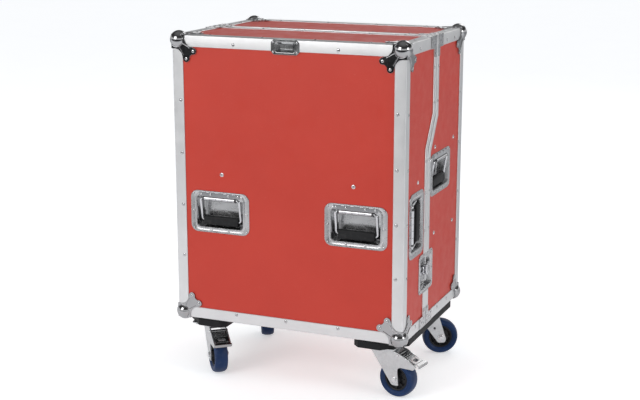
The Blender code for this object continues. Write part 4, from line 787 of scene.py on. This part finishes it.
def ball_corners():
    legs = to_mesh("ball_corner_legs", corner_shape())
    balls = to_mesh("ball_corner_ball", corner_ball())
    for quarter, (half, way, word, side) in enumerate((
        ("rear", 1, "right", 1), ("rear", 1, "left", -1), ("front", -1, "left", -1), ("front", -1, "right", 1),
    )):
        body = "cover" if half == "front" else "rear_half"
        for level, z in (("top", TOP), ("bottom", BOTTOM)):
            under = level == "bottom"
            spot = CASE @ shift((side * HALF_WIDTH, way * HALF_DEPTH, z))
            spot = spot @ Matrix.Rotation((quarter + under) * math.pi / 2, 4, "Z")
            if under:
                spot = spot @ Matrix.Rotation(math.pi, 4, "X")
            name = f"corner_{half}_{word}_{level}"
            for label, mesh, bevel, angle in (("_legs", legs, 0.0006, 40), ("_ball", balls, 0, 50)):
                place_mesh(name + label, mesh, CORNER, body, "ball_corner_steel", "ball_" + name, bevel, angle, spot)
            spots = []
            for a, b in CORNER_RIVETS:
                for place, out in ((on_x, EAST), (on_y, REARWARD), (on_z, UP)):
                    spots.append((place(a, b, GAP + CORNER_SHEET), out))
            scatter(name + "_rivets", RIVET_BIG, spots, body, "ball_corner_steel", spot)


# Pressed dishes

def tray(shape, outer, opening, centre_v, depth, taper, steps, lip):
    """A pressed tray with rounded bends. outer and opening are (half width, half height, radius)."""
    rim, bend, heel = DISH_TOP, 0.0026, 0.005
    floor = (opening[0] - taper, opening[1] - taper, opening[2])
    stages = [
        (floor, SHEET, rim - depth - SHEET), (opening, SHEET, GAP), (outer, 0, GAP), (outer, 0, rim - 0.0005),
        (outer, -0.0005, rim), (opening, bend + 0.0056, rim), (opening, bend + 0.0046, rim - 0.0005),
        (opening, bend + 0.003, rim + lip * 0.6), (opening, bend + 0.0014, rim + lip),
        (opening, bend * 0.35, rim + lip - bend * 0.2), (opening, 0, rim - bend * 0.9),
    ]
    for angle in (0, 30, 60, 90):
        turn = math.radians(angle)
        grow = -taper * 0.86 - heel * (1 - math.cos(turn))
        stages.append((opening, grow, rim - depth + heel * (1 - math.sin(turn))))
    rings = []
    for size, grow, w in stages:
        half_u, half_v, radius = size
        centre = 0 if size is outer else centre_v
        points = rounded(half_u + grow, half_v + grow, max(radius + grow, 0.0015), steps, centre)
        rings.append([(u, v, w) for u, v in points])
    loft(shape, rings)


def handle_places():
    """Name, body, centre, up and outward directions of the six handles."""
    places = []
    for (word, side), out in zip(SIDES, (WEST, EAST)):
        face_x = side * (HALF_WIDTH - PANEL_FACE)
        front = Vector((side * 0.191, PANEL_FACE - HALF_DEPTH, BOTTOM + 0.298))
        places.append((f"front_{word}_handle", "cover", front, UP, AHEAD))
        places.append((f"cover_{word}_handle", "cover", Vector((face_x, -0.14, BOTTOM + 0.294)), AHEAD, out))
        places.append((f"rear_{word}_handle", "rear_half", Vector((face_x, 0.051, BOTTOM + 0.396)), UP, out))
    return places


def local_frame(centre, up, out):
    matrix = Matrix((up.cross(out), up, out)).transposed().to_4x4()
    matrix.translation = centre
    return CASE @ matrix


# The handles' hinge line, up from the dish's middle and out from the panel
HINGE_V, HINGE_W = 0.036, 0.0012


def handle_dish_shape():
    """The pressed tray with a flat step stamped into its back."""
    shape = bmesh.new()
    tray(shape, (0.085, 0.056, 0.02), (0.066, 0.042, 0.01), 0.001, 0.032, 0.005, 6, 0.0008)
    floor = 0.0018 - 0.032
    rings = []
    for grow, w in ((0, floor - 0.0004), (-0.0004, floor + 0.0024), (-0.0012, floor + 0.0032)):
        rings.append([(u, v, w) for u, v in rounded(0.05 + grow, 0.013 + grow, 0.003, 4, 0.012)])
    loft(shape, rings)
    return shape


def handle_fixings_shape():
    """The riveted hinge plate with its knuckles."""
    shape = bmesh.new()
    teeth = []
    for index in range(5):
        left = 0.06 - index * 0.0255
        teeth += [(left, 0.0535), (left - 0.0135, 0.0535), (left - 0.015, 0.0515), (left - 0.024, 0.0515)]
    outline = [(0.06, 0.0406)] + teeth[:-2] + [(-0.06, 0.0535), (-0.06, 0.0406)]
    plate(shape, [outline], along_z, 0.0018, 0.0034)
    ring = [(0.041, 0.0034)] + arc((HINGE_V, HINGE_W), 0.0056, 25, 361, 18)
    bore = circle((HINGE_V, HINGE_W), 0.0041, 18)
    for index in range(5):
        low = -0.044 + index * 0.0176
        plate(shape, [ring, bore], along_x, low + 0.0003, low + 0.0173)
    return shape


def spring_shape():
    """The two coils that pull the bail back in, with their tails on the tray."""
    shape = bmesh.new()
    steps, radius = 60, 0.0052
    for side in (-1, 1):
        path = []
        for index in range(steps + 1):
            angle = 2 * math.pi * index / 12
            path.append((
                side * (0.0447 + 0.0044 * index / steps),
                HINGE_V + radius * math.cos(angle), HINGE_W + radius * math.sin(angle),
            ))
        tube(shape, path, 0.0006, 6)
        tail = ((HINGE_V + radius, HINGE_W), (0.0412, -0.01), (0.04, -0.016))
        tube(shape, [(side * 0.0447, v, w) for v, w in tail], 0.0006, 6)
    return shape


def bail_path():
    drop, back, reach, bend = 0.06, -0.0107, 0.056, 0.007
    fall = back / drop
    half = [(0.034, 0, 0)]
    for step in range(9):
        turn = math.radians(90 * step / 8)
        down = bend * (1 - math.cos(turn))
        half.append((reach - bend + bend * math.sin(turn), -down, fall * down))
    for step in range(9):
        turn = math.radians(90 * step / 8)
        down = drop - bend + bend * math.sin(turn)
        half.append((reach - bend + bend * math.cos(turn), -down, fall * down))
    return half + [(-u, v, w) for u, v, w in reversed(half)]


def bail_shape():
    shape = bmesh.new()
    tube(shape, bail_path(), 0.0036, 18)
    return shape


def grip_shape():
    """The moulded grip: a soft oblong bar with shallow grooves along its front."""
    shape = bmesh.new()
    centre = Vector((-0.06, -0.0107))
    half_v, half_w = 0.0125, 0.0085
    section = rounded(half_v, half_w, 0.005, 6)
    front = [(half_v - 0.005 - 0.0025 * k, half_w - (0.0007 if k % 2 else 0)) for k in range(1, 6)]
    section = section[:7] + front + section[7:]
    ends = [(0.05, 0.8), (0.0488, 0.93), (0.047, 1)]
    rings = []
    for x, scale in [(-x, scale) for x, scale in ends] + ends[::-1]:
        rings.append([(x, *(centre + Vector(point) * scale)) for point in section])
    loft(shape, rings)
    return shape


def handles():
    fixed = (
        ("_tray", handle_dish_shape(), DISH, 0), ("_hinge_plate", handle_fixings_shape(), CHROME, 0.0004),
        ("_springs", spring_shape(), SPRING, 0),
    )
    swung = (("_bar", bail_shape(), CHROME), ("_grip", grip_shape(), GRIP))
    rivets = [(u, v) for u in (-0.0765, 0.0765) for v in (-0.0475, 0)]
    rivets += [(-0.026, -0.049), (0.026, -0.049), (-0.0765, 0.0475), (0.0765, 0.0475)]
    spots = upward(rivets, DISH_TOP) + upward([(u, 0.047) for u in (-0.0533, -0.026, 0.026, 0.0533)], 0.0034)
    hinge = shift((0, HINGE_V, HINGE_W))
    for name, body, centre, up, out in handle_places():
        place = local_frame(centre, up, out)
        for label, form, material, bevel in fixed:
            piece(name + label, form.copy(), material, body, "dish_steel", name + "_dish", bevel, matrix=place)
        scatter(name + "_rivets", RIVET_SMALL, spots, body, "dish_steel", place)
        for label, form, material in swung:
            shape = moved(form, hinge)
            piece(name + label, shape, material, name, "bail_and_grip", name + "_bail", matrix=place, angle=50)


# Latches

# Heights over the panel: tray floor, hook, turntable and the wing's axis
LATCH_FLOOR = DISH_TOP - 0.016
HOOK_LOW = LATCH_FLOOR + 0.0022 + GAP
DISC_LOW = HOOK_LOW + 0.0025 + GAP
WING_W = DISC_LOW + 0.0035 + 0.0032


def latch_half_tray(way):
    """The pressed tray, cut at the closure line."""
    whole = bmesh.new()
    opening = (LATCH_HALF_WIDTH - 0.011, LATCH_HALF_HEIGHT - 0.011, 0.008)
    tray(whole, (LATCH_HALF_WIDTH, LATCH_HALF_HEIGHT, 0.012), opening, 0, 0.016, 0.002, 5, 0.0006)
    bmesh.ops.bisect_plane(
        whole, geom=whole.verts[:] + whole.edges[:] + whole.faces[:], plane_co=(way * GAP / 2, 0, 0),
        plane_no=(way, 0, 0), clear_inner=True,
    )
    bmesh.ops.holes_fill(whole, edges=[edge for edge in whole.edges if len(edge.link_faces) == 1])
    return whole


def latch_trays():
    """The latch's tray with post and guides, and the keeper's with its catch."""
    rear, front = latch_half_tray(1), latch_half_tray(-1)
    post = [(0, WING_W - 0.001), (0.0024, WING_W - 0.001), (0.003, WING_W - 0.0016), (0.003, LATCH_FLOOR)]
    add(rear, shift((SPINDLE_Y, 0, 0)), turned, post, 20, along_z)
    for way in (-1, 1):
        guide = [(0.006, way * 0.0125), (0.034, way * 0.0125), (0.034, way * 0.0145), (0.006, way * 0.0145)]
        plate(rear, [guide], along_z, LATCH_FLOOR - 0.0002, LATCH_FLOOR + 0.0045)
    low = LATCH_FLOOR - 0.0003
    catch = round_corners(rectangle(-0.018, -0.013, -0.0105, 0.0105), 0.0012, 3)
    plate(front, [catch], along_z, low, LATCH_FLOOR + 0.0022)
    plate(front, [rounded(0.0035, 0.016, 0.002, 4, 0, -0.036)], along_z, low, LATCH_FLOOR + 0.0016)
    return rear, front


def latch_hook():
    """The drawn hook, with its slot round the post and its window over the catch."""
    hook = bmesh.new()
    half = [(-0.02, 0.0072), (-0.01, 0.0105), (0.0345, 0.0105)]
    outline = round_corners([(u, -v) for u, v in half] + half[::-1], 0.002, 4)
    slot = arc((SPINDLE_Y + 0.008, 0), 0.0034, -90, 90, 8)
    slot += arc((SPINDLE_Y - 0.001, 0), 0.0034, 90, 270, 8)
    window = rounded(0.0045, 0.0045, 0.0015, 4, 0, -0.003)
    plate(hook, [outline, slot, window], along_z, HOOK_LOW, HOOK_LOW + 0.0025)
    return hook


def latch_turntable():
    """The disc with two ears and the wing's pin."""
    form = bmesh.new()
    disc = (
        (0.0034, 0), (0.015, 0), (0.0155, 0.0006), (0.0155, 0.0028),
        (0.0149, 0.0035), (0.0066, 0.0035), (0.006, 0.0029), (0.0034, 0.0029),
    )
    turned(form, [(radius, DISC_LOW + height) for radius, height in disc], 36, along_z, closed=True)
    ear = [(-0.0035, DISC_LOW + 0.002), (0.0035, DISC_LOW + 0.002)] + arc((0, WING_W), 0.003, -10, 190, 8)
    plate(form, [ear], along_y, -0.0125, -0.0095)
    plate(form, [ear], along_y, 0.0095, 0.0125)
    pin = [(0, -0.0134), (0.0014, -0.0134), (0.0015, -0.0132), (0.0015, 0.0132), (0.0014, 0.0134), (0, 0.0134)]
    add(form, shift((0, 0, WING_W)), turned, pin, 14, along_y)
    return moved(form, shift((SPINDLE_Y, 0, 0)))


def latch_wing():
    """The butterfly with its two pressed rings and the eye round the pin."""
    form = bmesh.new()
    lobes = arc((0.0135, 0.0115), 0.0085, 165, -62, 14)
    outline = [(0.0024, -0.0085), (0.0024, 0.0085), (0.0052, 0.0096)] + lobes + [(0.016, 0)]
    outline += [(u, -v) for u, v in reversed(lobes)] + [(0.0052, -0.0096)]
    plate(form, [outline], along_z, -0.00125, 0.00125)
    ring = [(0.005, 0.0012), (0.0058, 0.0019), (0.0066, 0.0012), (0.0058, 0.0006)]
    for way in (-1, 1):
        add(form, shift((0.0135, way * 0.0115, 0)), turned, ring, 24, along_z, closed=True)
    eye = [(0.0019, -0.0089), (0.0027, -0.0089), (0.0027, 0.0089), (0.0019, 0.0089)]
    turned(form, eye, 18, along_y, closed=True)
    return moved(form, shift((SPINDLE_Y, 0, WING_W)))


def latches():
    rear, front = latch_trays()
    moving = (
        ("latch_hook_plate_", latch_hook(), "latch_hook_", 0.0004),
        ("latch_turntable_", latch_turntable(), "latch_spindle_", 0.0004),
        ("latch_butterfly_", latch_wing(), "latch_wing_", 0.0005),
    )
    u, v = LATCH_HALF_WIDTH - 0.0075, LATCH_HALF_HEIGHT - 0.0075
    rivets = ((u, -v), (u, 0), (u, v), (0.017, -v - 0.001), (0.017, v + 0.001))
    for (word, side), out in zip(SIDES, (WEST, EAST)):
        matrix = Matrix((REARWARD, out.cross(REARWARD), out)).transposed().to_4x4()
        matrix.translation = (side * (HALF_WIDTH - PANEL_FACE), SPLIT_LOWER, BOTTOM + LATCH_Z)
        place = CASE @ matrix
        for label, form, body in (("latch", rear, "rear_half"), ("keeper", front, "cover")):
            node = f"{label}_dish_{word}"
            piece(f"{label}_tray_{word}", form.copy(), DISH, body, "latch_steel", node, 0.0003, matrix=place)
        for body, way in (("rear_half", 1), ("cover", -1)):
            spots = upward([(way * u, v) for u, v in rivets], DISH_TOP)
            scatter(f"latch_{word}_{body}_rivets", RIVET_SMALL, spots, body, "latch_steel", place)
        for name, form, node, bevel in moving:
            piece(name + word, form.copy(), CHROME, node + word, "latch_steel", node + word, bevel, matrix=place)


# Finger pull

def cut_rectangle(half_u, half_v, cut, w):
    """A rectangle with its corners cut off, at one height."""
    corner_u, corner_v = half_u - cut, half_v - cut
    quarter = [(half_u, corner_v), (corner_u, half_v)]
    half = quarter + [(-u, v) for u, v in reversed(quarter)]
    points = [(half_u, -corner_v)] + half + [(-half_u, -corner_v), (-corner_u, -half_v), (corner_u, -half_v)]
    return [(u, v, w) for u, v in points]


def finger_pull():
    shape = bmesh.new()
    rim = DISH_TOP
    loft(shape, [cut_rectangle(*ring) for ring in (
        (0.02, 0.0065, 0.002, rim - 0.011), (0.0262, 0.0122, 0.004, GAP), (0.039, 0.019, 0.0075, GAP),
        (0.039, 0.019, 0.0075, rim - 0.0007), (0.0382, 0.0182, 0.0073, rim), (0.0292, 0.0148, 0.0052, rim),
        (0.0284, 0.0141, 0.005, rim + 0.0007), (0.0272, 0.0131, 0.0046, rim + 0.0004),
        (0.0262, 0.0122, 0.0042, rim - 0.0006), (0.0182, 0.0058, 0.0008, rim - 0.0088),
        (0.0175, 0.0052, 0.0008, rim - 0.0092),
    )])
    matrix = CASE @ Matrix(((1, 0, 0, 0), (0, 0, -1, -HALF_DEPTH), (0, 1, 0, BOTTOM + 0.7405), (0, 0, 0, 1)))
    piece("finger_pull_tray", shape, PEDAL, "cover", "dish_steel", "finger_pull_dish", 0.0007, 20, matrix)
    spots = upward([(u, v) for u in (-0.0325, 0.0325) for v in (-0.0125, 0.0125)], rim)
    scatter("finger_pull_rivets", RIVET_SMALL, spots, "cover", "dish_steel", matrix)


# Skids

def skids():
    end, outer, inner = HALF_DEPTH, HALF_WIDTH - 0.002, 0.183
    rebate, limit = HALF_WIDTH - 0.0715, end - 0.0715
    top = BOTTOM - GAP
    close = [(inner + 0.016, end), (inner, end - 0.016), (inner, -end + 0.016)]
    board = [(inner + 0.016, -end), (outer - 0.058, -end), (outer, -end + 0.06), (outer, end - 0.06)]
    board.append((outer - 0.058, end))
    raised = [(inner + 0.016, -end), (rebate, -end), (rebate, -limit), (outer, -limit), (outer, limit)]
    raised += [(rebate, limit), (rebate, end)]
    for word, side in SIDES:
        shape = bmesh.new()
        for outline, low, high in ((board, SKID_BOTTOM, top - 0.0023), (raised, top - 0.0024, top)):
            plate(shape, [[(side * u, v) for u, v in outline + close]], along_z, low, high)
        piece("skid_" + word, shape, BOARD, "rear_half", "black_board", "skid_board_" + word, 0.0009)


# Casters

CROWN_TOP = PLATE_TOP - 0.003 - 0.007 - GAP
AXLE = shift((CASTER_OFFSET, 0, WHEEL_RADIUS))
PEDAL_AXIS = shift((0.048, 0, 0.118))
BOLT_PLACES = [(u, v) for u in (-0.03, 0.03) for v in (-0.04, 0.04)]


def mirrored(profile):
    """A profile of (radius, height) points followed by its mirror image."""
    return profile + [(radius, -height) for radius, height in reversed(profile)]


def hex_bolt(shape, move, place, radius, washer, segments):
    """A hexagon head on a washer, pointing out along the place's third axis."""
    add(shape, move, turned, washer, segments, place)
    rings = []
    for size, lift in ((1, 0.001), (1, 0.0042), (0.86, 0.005)):
        rings.append([place(u, v, lift) for u, v in circle((0, 0), radius * size, 6)])
    add(shape, move, loft, rings)


def leg_outline(braked):
    top = CROWN_TOP
    axle_x, axle_z = CASTER_OFFSET, WHEEL_RADIUS
    foot = axle_z - 0.015
    front = [(-0.029, top), (-0.029, top - 0.01), (axle_x - 0.01, foot + 0.003), (axle_x - 0.006, foot),
             (axle_x + 0.0085, foot), (axle_x + 0.0125, foot + 0.003)]
    if not braked:
        back = [(axle_x + 0.0148, axle_z - 0.004), (0.032, top - 0.01), (0.032, top)]
        return round_corners(front + back, 0.003, 4, (0, 8))
    under = axle_z + 0.036
    rest = arc((axle_x + 0.0185, under - 0.01), 0.01, 180, 90, 6)
    rest += [(0.094, under), (0.104, under + 0.01), (0.054, 0.123), (0.032, top)]
    return round_corners(front, 0.003, 4, (0,)) + rest


def fork_shape(braked):
    """The folded fork: a bent strip of steel cut to the legs' outline."""
    inner, sheet, foot = 0.02015, 0.0035, 0.02
    outer, top = inner + sheet, CROWN_TOP
    section = [(-outer, foot)] + arc((-outer + 0.006, top - 0.006), 0.006, 180, 90, 6)
    section += arc((outer - 0.006, top - 0.006), 0.006, 90, 0, 6) + [(outer, foot), (inner, foot)]
    section += arc((inner - 0.0025, top - sheet - 0.0025), 0.0025, 0, 90, 4)
    section += arc((-inner + 0.0025, top - sheet - 0.0025), 0.0025, 90, 180, 4) + [(-inner, foot)]
    holes = [] if braked else [circle((0.012, 0.098), 0.0035, 16), circle((0.022, 0.078), 0.003, 16)]
    strip, tool = bmesh.new(), bmesh.new()
    plate(strip, [section], along_x, -0.05, 0.12)
    plate(tool, [leg_outline(braked)] + holes, along_y, -0.06, 0.06)
    strip, tool = link_object("strip", to_mesh("strip", strip)), link_object("tool", to_mesh("tool", tool))
    modifier = strip.modifiers.new("cut", "BOOLEAN")
    modifier.object = tool
    modifier.operation = "INTERSECT"
    modifier.solver = "EXACT"
    graph = bpy.context.evaluated_depsgraph_get()
    result = bpy.data.meshes.new_from_object(strip.evaluated_get(graph))
    shape = bmesh.new()
    shape.from_mesh(result)
    for obj in (strip, tool):
        bpy.data.objects.remove(obj, do_unlink=True)
    bmesh.ops.dissolve_limit(shape, angle_limit=0.01, verts=shape.verts[:], edges=shape.edges[:])
    return shape


def axle_shape():
    shape = bmesh.new()
    washer = [(0, 0.0012), (0.0085, 0.0012), (0.00918, 0.0008), (0.00918, -0.0004)]
    for way in (-1, 1):
        hex_bolt(shape, AXLE, lambda u, v, w: (u, way * (0.02365 + w), v), 0.0068, washer, 24)
    add(shape, AXLE, turned, [(0, -0.024), (0.005, -0.024), (0.005, 0.024), (0, 0.024)], 20, along_y)
    return shape


def top_plate_shape():
    """The top plate with slotted bolt holes, its ball race, the king bolt and the four plate bolts."""
    shape = bmesh.new()
    under = PLATE_TOP - 0.003
    holes = [rounded(0.0045, 0.007, 0.0044, 5, v, u) for u, v in BOLT_PLACES]
    plate(shape, [rounded(0.0425, 0.0525, 0.009, 6)] + holes, along_z, under, PLATE_TOP)
    low = PLATE_TOP - 0.01
    race = [(0, low), (0.0235, low), (0.0262, low + 0.0012), (0.027, low + 0.0032), (0.0262, low + 0.0052),
            (0.029, low + 0.0066), (0.03, PLATE_TOP - 0.002)]
    turned(shape, race, 40, along_z)
    washer = [(0, 0.0012), (0.0078, 0.0012), (0.0082, 0.0008), (0.0082, -0.0003)]
    for u, v in BOLT_PLACES:
        hex_bolt(shape, shift((u, v, 0)), lambda a, b, w: (a, b, under - w), 0.006, washer, 22)
    return shape


def tyre_shape():
    shape = bmesh.new()
    side = [(0.0323, -0.014), (0.0353, -0.0172), (0.0385, -0.018), (0.039, -0.0174), (0.0398, -0.0174)]
    side.append((0.0403, -0.018))
    tread = []
    for step in range(13):
        angle = math.radians(-90 + 180 * step / 12)
        tread.append((0.0435 + 0.0065 * math.cos(angle) ** 0.85, 0.018 * math.sin(angle)))
    other = [(radius, -height) for radius, height in reversed(side)]
    turned(shape, side + tread + other, 72, along_y, closed=True)
    return shape


def rim_shape():
    shape = bmesh.new()
    turned(shape, mirrored([
        (0.0054, -0.01975), (0.012, -0.01975), (0.013, -0.0188), (0.0136, -0.011), (0.0165, -0.0072),
        (0.0235, -0.0064), (0.0268, -0.0088), (0.0282, -0.0138), (0.03, -0.0146), (0.032, -0.0138),
    ]), 64, along_y, closed=True)
    spoke = round_corners([(0.0125, -0.0016), (0.028, -0.0012), (0.028, 0.0012), (0.0125, 0.0016)], 0.0006, 2)
    for index in range(8):
        turn = Matrix.Rotation(math.pi / 2, 4, "X") @ Matrix.Rotation(index * math.pi / 4, 4, "Z")
        add(shape, turn, plate, [spoke], along_z, -0.0118, 0.0118)
    return shape


def pedal_shape():
    """The total-lock pedal: sloping tread with windows, ribs and a turned lip."""
    shape = bmesh.new()
    half, wide = 0.01935, 0.023
    length, fall = 0.064, 0.019
    drop = fall / length

    def on_slope(u, v, w):
        return (u, v, -drop * u + w)

    narrow = 0.057
    edge = [(-0.002, half), (narrow, half), (narrow + 0.002, wide), (length, wide)]
    window = rounded(0.005, 0.01, 0.0015, 4, 0, length - 0.022)
    plate(shape, [[(u, -v) for u, v in edge] + edge[::-1], window], on_slope, -0.00125, 0.00125)
    tab = length - 0.0286
    plate(shape, [rectangle(tab, tab + 0.0014, -drop * tab - 0.0085, -drop * tab)], along_y, -0.0095, 0.0095)
    section = ((-0.0012, 0.001), (-0.0006, 0.0024), (0.0006, 0.0024), (0.0012, 0.001))
    for u in (0.011, 0.017, 0.023, 0.029, 0.053):
        loft(shape, [[on_slope(u + a, v, w) for a, w in section] for v in (-half + 0.003, half - 0.003)])
    lip = [(length - 0.0025, -fall + 0.0012), (length + 0.0006, -fall + 0.001), (length + 0.0006, -fall - 0.006),
           (length - 0.0019, -fall - 0.006)]
    plate(shape, [lip], along_y, -wide, wide)
    cheek = round_corners(
        [(-0.006, 0.001), (0.03, -0.0085), (0.052, -0.015), (0.052, -0.019), (0.026, -0.015), (-0.002, -0.0085)],
        0.002, 3,
    )
    plate(shape, [cheek], along_y, -half, -half + 0.0022)
    plate(shape, [cheek], along_y, half - 0.0022, half)
    plate(shape, [rectangle(0, 0.014, -0.0085, -0.001)], along_y, -0.011, 0.011)
    turned(shape, [(0.0028, -half), (0.0048, -half), (0.0048, half), (0.0028, half)], 20, along_y, closed=True)
    return shape


def casters():
    axle, pedal = axle_shape(), moved(pedal_shape(), PEDAL_AXIS)
    braked_axle = axle.copy()
    pin = mirrored([(0, -0.0258), (0.0034, -0.0258), (0.004, -0.025), (0.004, -0.0234), (0.0024, -0.023)])
    add(braked_axle, PEDAL_AXIS, turned, pin, 18, along_y)
    forks = {True: (fork_shape(True), braked_axle), False: (fork_shape(False), axle)}
    plates = top_plate_shape()
    wheel = (
        ("_tread", moved(tyre_shape(), AXLE), TYRE, "blue_tyre", "_tyre"),
        ("_centre", moved(rim_shape(), AXLE), RIM, "wheel_centre", "_wheel_rim"),
    )
    steel = "zinc_steel"
    for word, (x, y, degrees) in CASTERS.items():
        braked = word.startswith("front")
        spot = CASE @ shift((x, y, 0))
        turn = spot @ Matrix.Rotation(math.radians(degrees), 4, "Z")
        fork, bolt = forks[braked]
        body = word + "_fork"
        piece(word + "_fork_steel", fork.copy(), ZINC, body, steel, body, 0.0006, 30, turn)
        piece(word + "_axle_bolt", bolt.copy(), RIVET, body, steel, body, 0.0003, 30, turn)
        node = word + "_caster_plate"
        piece(word + "_top_plate", plates.copy(), ZINC, "rear_half", steel, node, 0.0004, 30, spot)
        for label, form, material, slot, node in wheel:
            piece(word + label, form.copy(), material, word + "_wheel", slot, word + node, matrix=turn)
        if braked:
            body = word + "_brake_pedal"
            piece(word + "_pedal_steel", pedal.copy(), PEDAL, body, steel, body, 0.0005, 30, turn)


# Kept solids, which get better materials

def dress(node, material):
    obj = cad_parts[node]
    obj.data.materials.clear()
    obj.data.materials.append(material)


# Stage

def floor_material():
    """Pale paper, lifted to white for the camera; mirrors see it bright by the case and dark far in front."""
    look = Surface("floor", (0.86, 0.86, 0.86), 0.8, specular=0)
    paper = look.ramp(look.noise(3, 3), ((0.3, 0.85), (0.7, 0.87)))
    rays = look.nodes.new("ShaderNodeLightPath").outputs
    depth = look.limits(look.split(look.coords)["Y"], 0, 1, -3, 3)
    far = look.ramp(depth, ((0.07, 0.05), (0.25, 0.86), (0.55, 0.86), (0.75, 0.62)))
    look.set("Base Color", look.mix(rays["Is Glossy Ray"], paper, far))
    near = look.ramp(depth, ((0.1, 0), (0.28, 0.3), (0.52, 0.3), (0.7, 0)))
    mirror = look.calculate(MATH, "MULTIPLY", near, rays["Is Glossy Ray"])
    seen = look.calculate(MATH, "MULTIPLY", rays["Is Camera Ray"], 0.46)
    look.set("Emission Color", (1, 1, 1))
    look.set("Emission Strength", look.calculate(MATH, "ADD", mirror, seen))
    return look.material


def studio_world():
    """White to the camera, white round the horizon to metal, dark overhead, even light otherwise."""
    world = bpy.data.worlds.new("studio")
    bpy.context.scene.world = world
    tree = Tree(world)
    tree.nodes.clear()
    output = tree.nodes.new("ShaderNodeOutputWorld")
    rays = tree.nodes.new("ShaderNodeLightPath").outputs
    height = tree.split(tree.nodes.new("ShaderNodeTexCoord").outputs["Generated"])["Z"]
    room = tree.ramp(height, ((0, 1), (0.16, 0.95), (0.32, 0.08), (0.6, 0.05), (0.95, 0.25)))
    mirrored_room, light, white = [
        tree.add("ShaderNodeBackground", "Background", {"Color": colour, "Strength": strength})
        for colour, strength in ((room, 1), ((0.93, 0.96, 1), 0.62), ((1, 1, 1), 1))
    ]
    seen = light
    for kind, shade in (
        ("Is Glossy Ray", mirrored_room), ("Is Transmission Ray", mirrored_room), ("Is Camera Ray", white),
    ):
        seen = tree.add("ShaderNodeMixShader", "Shader", {"Fac": rays[kind], 1: seen, 2: shade})
    tree.feed(output.inputs["Surface"], seen)


def stage():
    """A pale floor and soft lamps."""
    shape = bmesh.new()
    bmesh.ops.create_grid(shape, x_segments=1, y_segments=1, size=60)
    mesh = bpy.data.meshes.new("floor")
    shape.to_mesh(mesh)
    shape.free()
    floor = link_object("floor", mesh)
    mesh.materials.append(floor_material())
    studio_world()
    for name, place, size, power in (
        ("key", (-1.9, -4.3, 2.35), 2.4, 76),
        ("side", (4.2, -1, 1.9), 1.4, 34),
        ("back", (0.5, 3.6, 3.2), 1.6, 25),
    ):
        lamp = bpy.data.lights.new(name, "AREA")
        lamp.size = size
        lamp.energy = power
        obj = link_object(name, lamp)
        obj.location = place
        aim = Vector((0, 0, 0.5)) - Vector(place)
        obj.rotation_euler = aim.to_track_quat("-Z", "Y").to_euler()


def camera():
    lens = bpy.data.cameras.new("camera")
    lens.sensor_width = 36
    lens.lens = 36 * 1301 / 640
    obj = link_object("camera", lens)
    azimuth, elevation, distance = math.radians(22.85), math.radians(13.24), 3.556
    target = Vector((-0.006 + CASE_X, CASE_Y, 0.458))
    flat = math.cos(elevation)
    away = Vector((math.sin(azimuth) * flat, -math.cos(azimuth) * flat, math.sin(elevation)))
    obj.location = target + away * distance
    obj.rotation_euler = (-away).to_track_quat("-Z", "Y").to_euler()
    bpy.context.scene.camera = obj


half_profiles("cover_profiles", -1, "cover_frame", "cover")
half_profiles("rear_profiles", 1, "rear_frame", "rear_half")
half_braces("cover_braces", -1, "cover_frame", "cover")
half_braces("rear_braces", 1, "rear_frame", "rear_half")
profile_rivets()
panel_screws()
ball_corners()
handles()
latches()
finger_pull()
skids()
casters()
dress("cover_shell", RED)
dress("rear_shell", RED)
for node in ("base_cradle", "rear_lower_shelf", "rear_upper_shelf", "cover_shelf"):
    dress(node, BIRCH)
stage()
camera()
bpy.context.scene.view_settings.view_transform = "Standard"
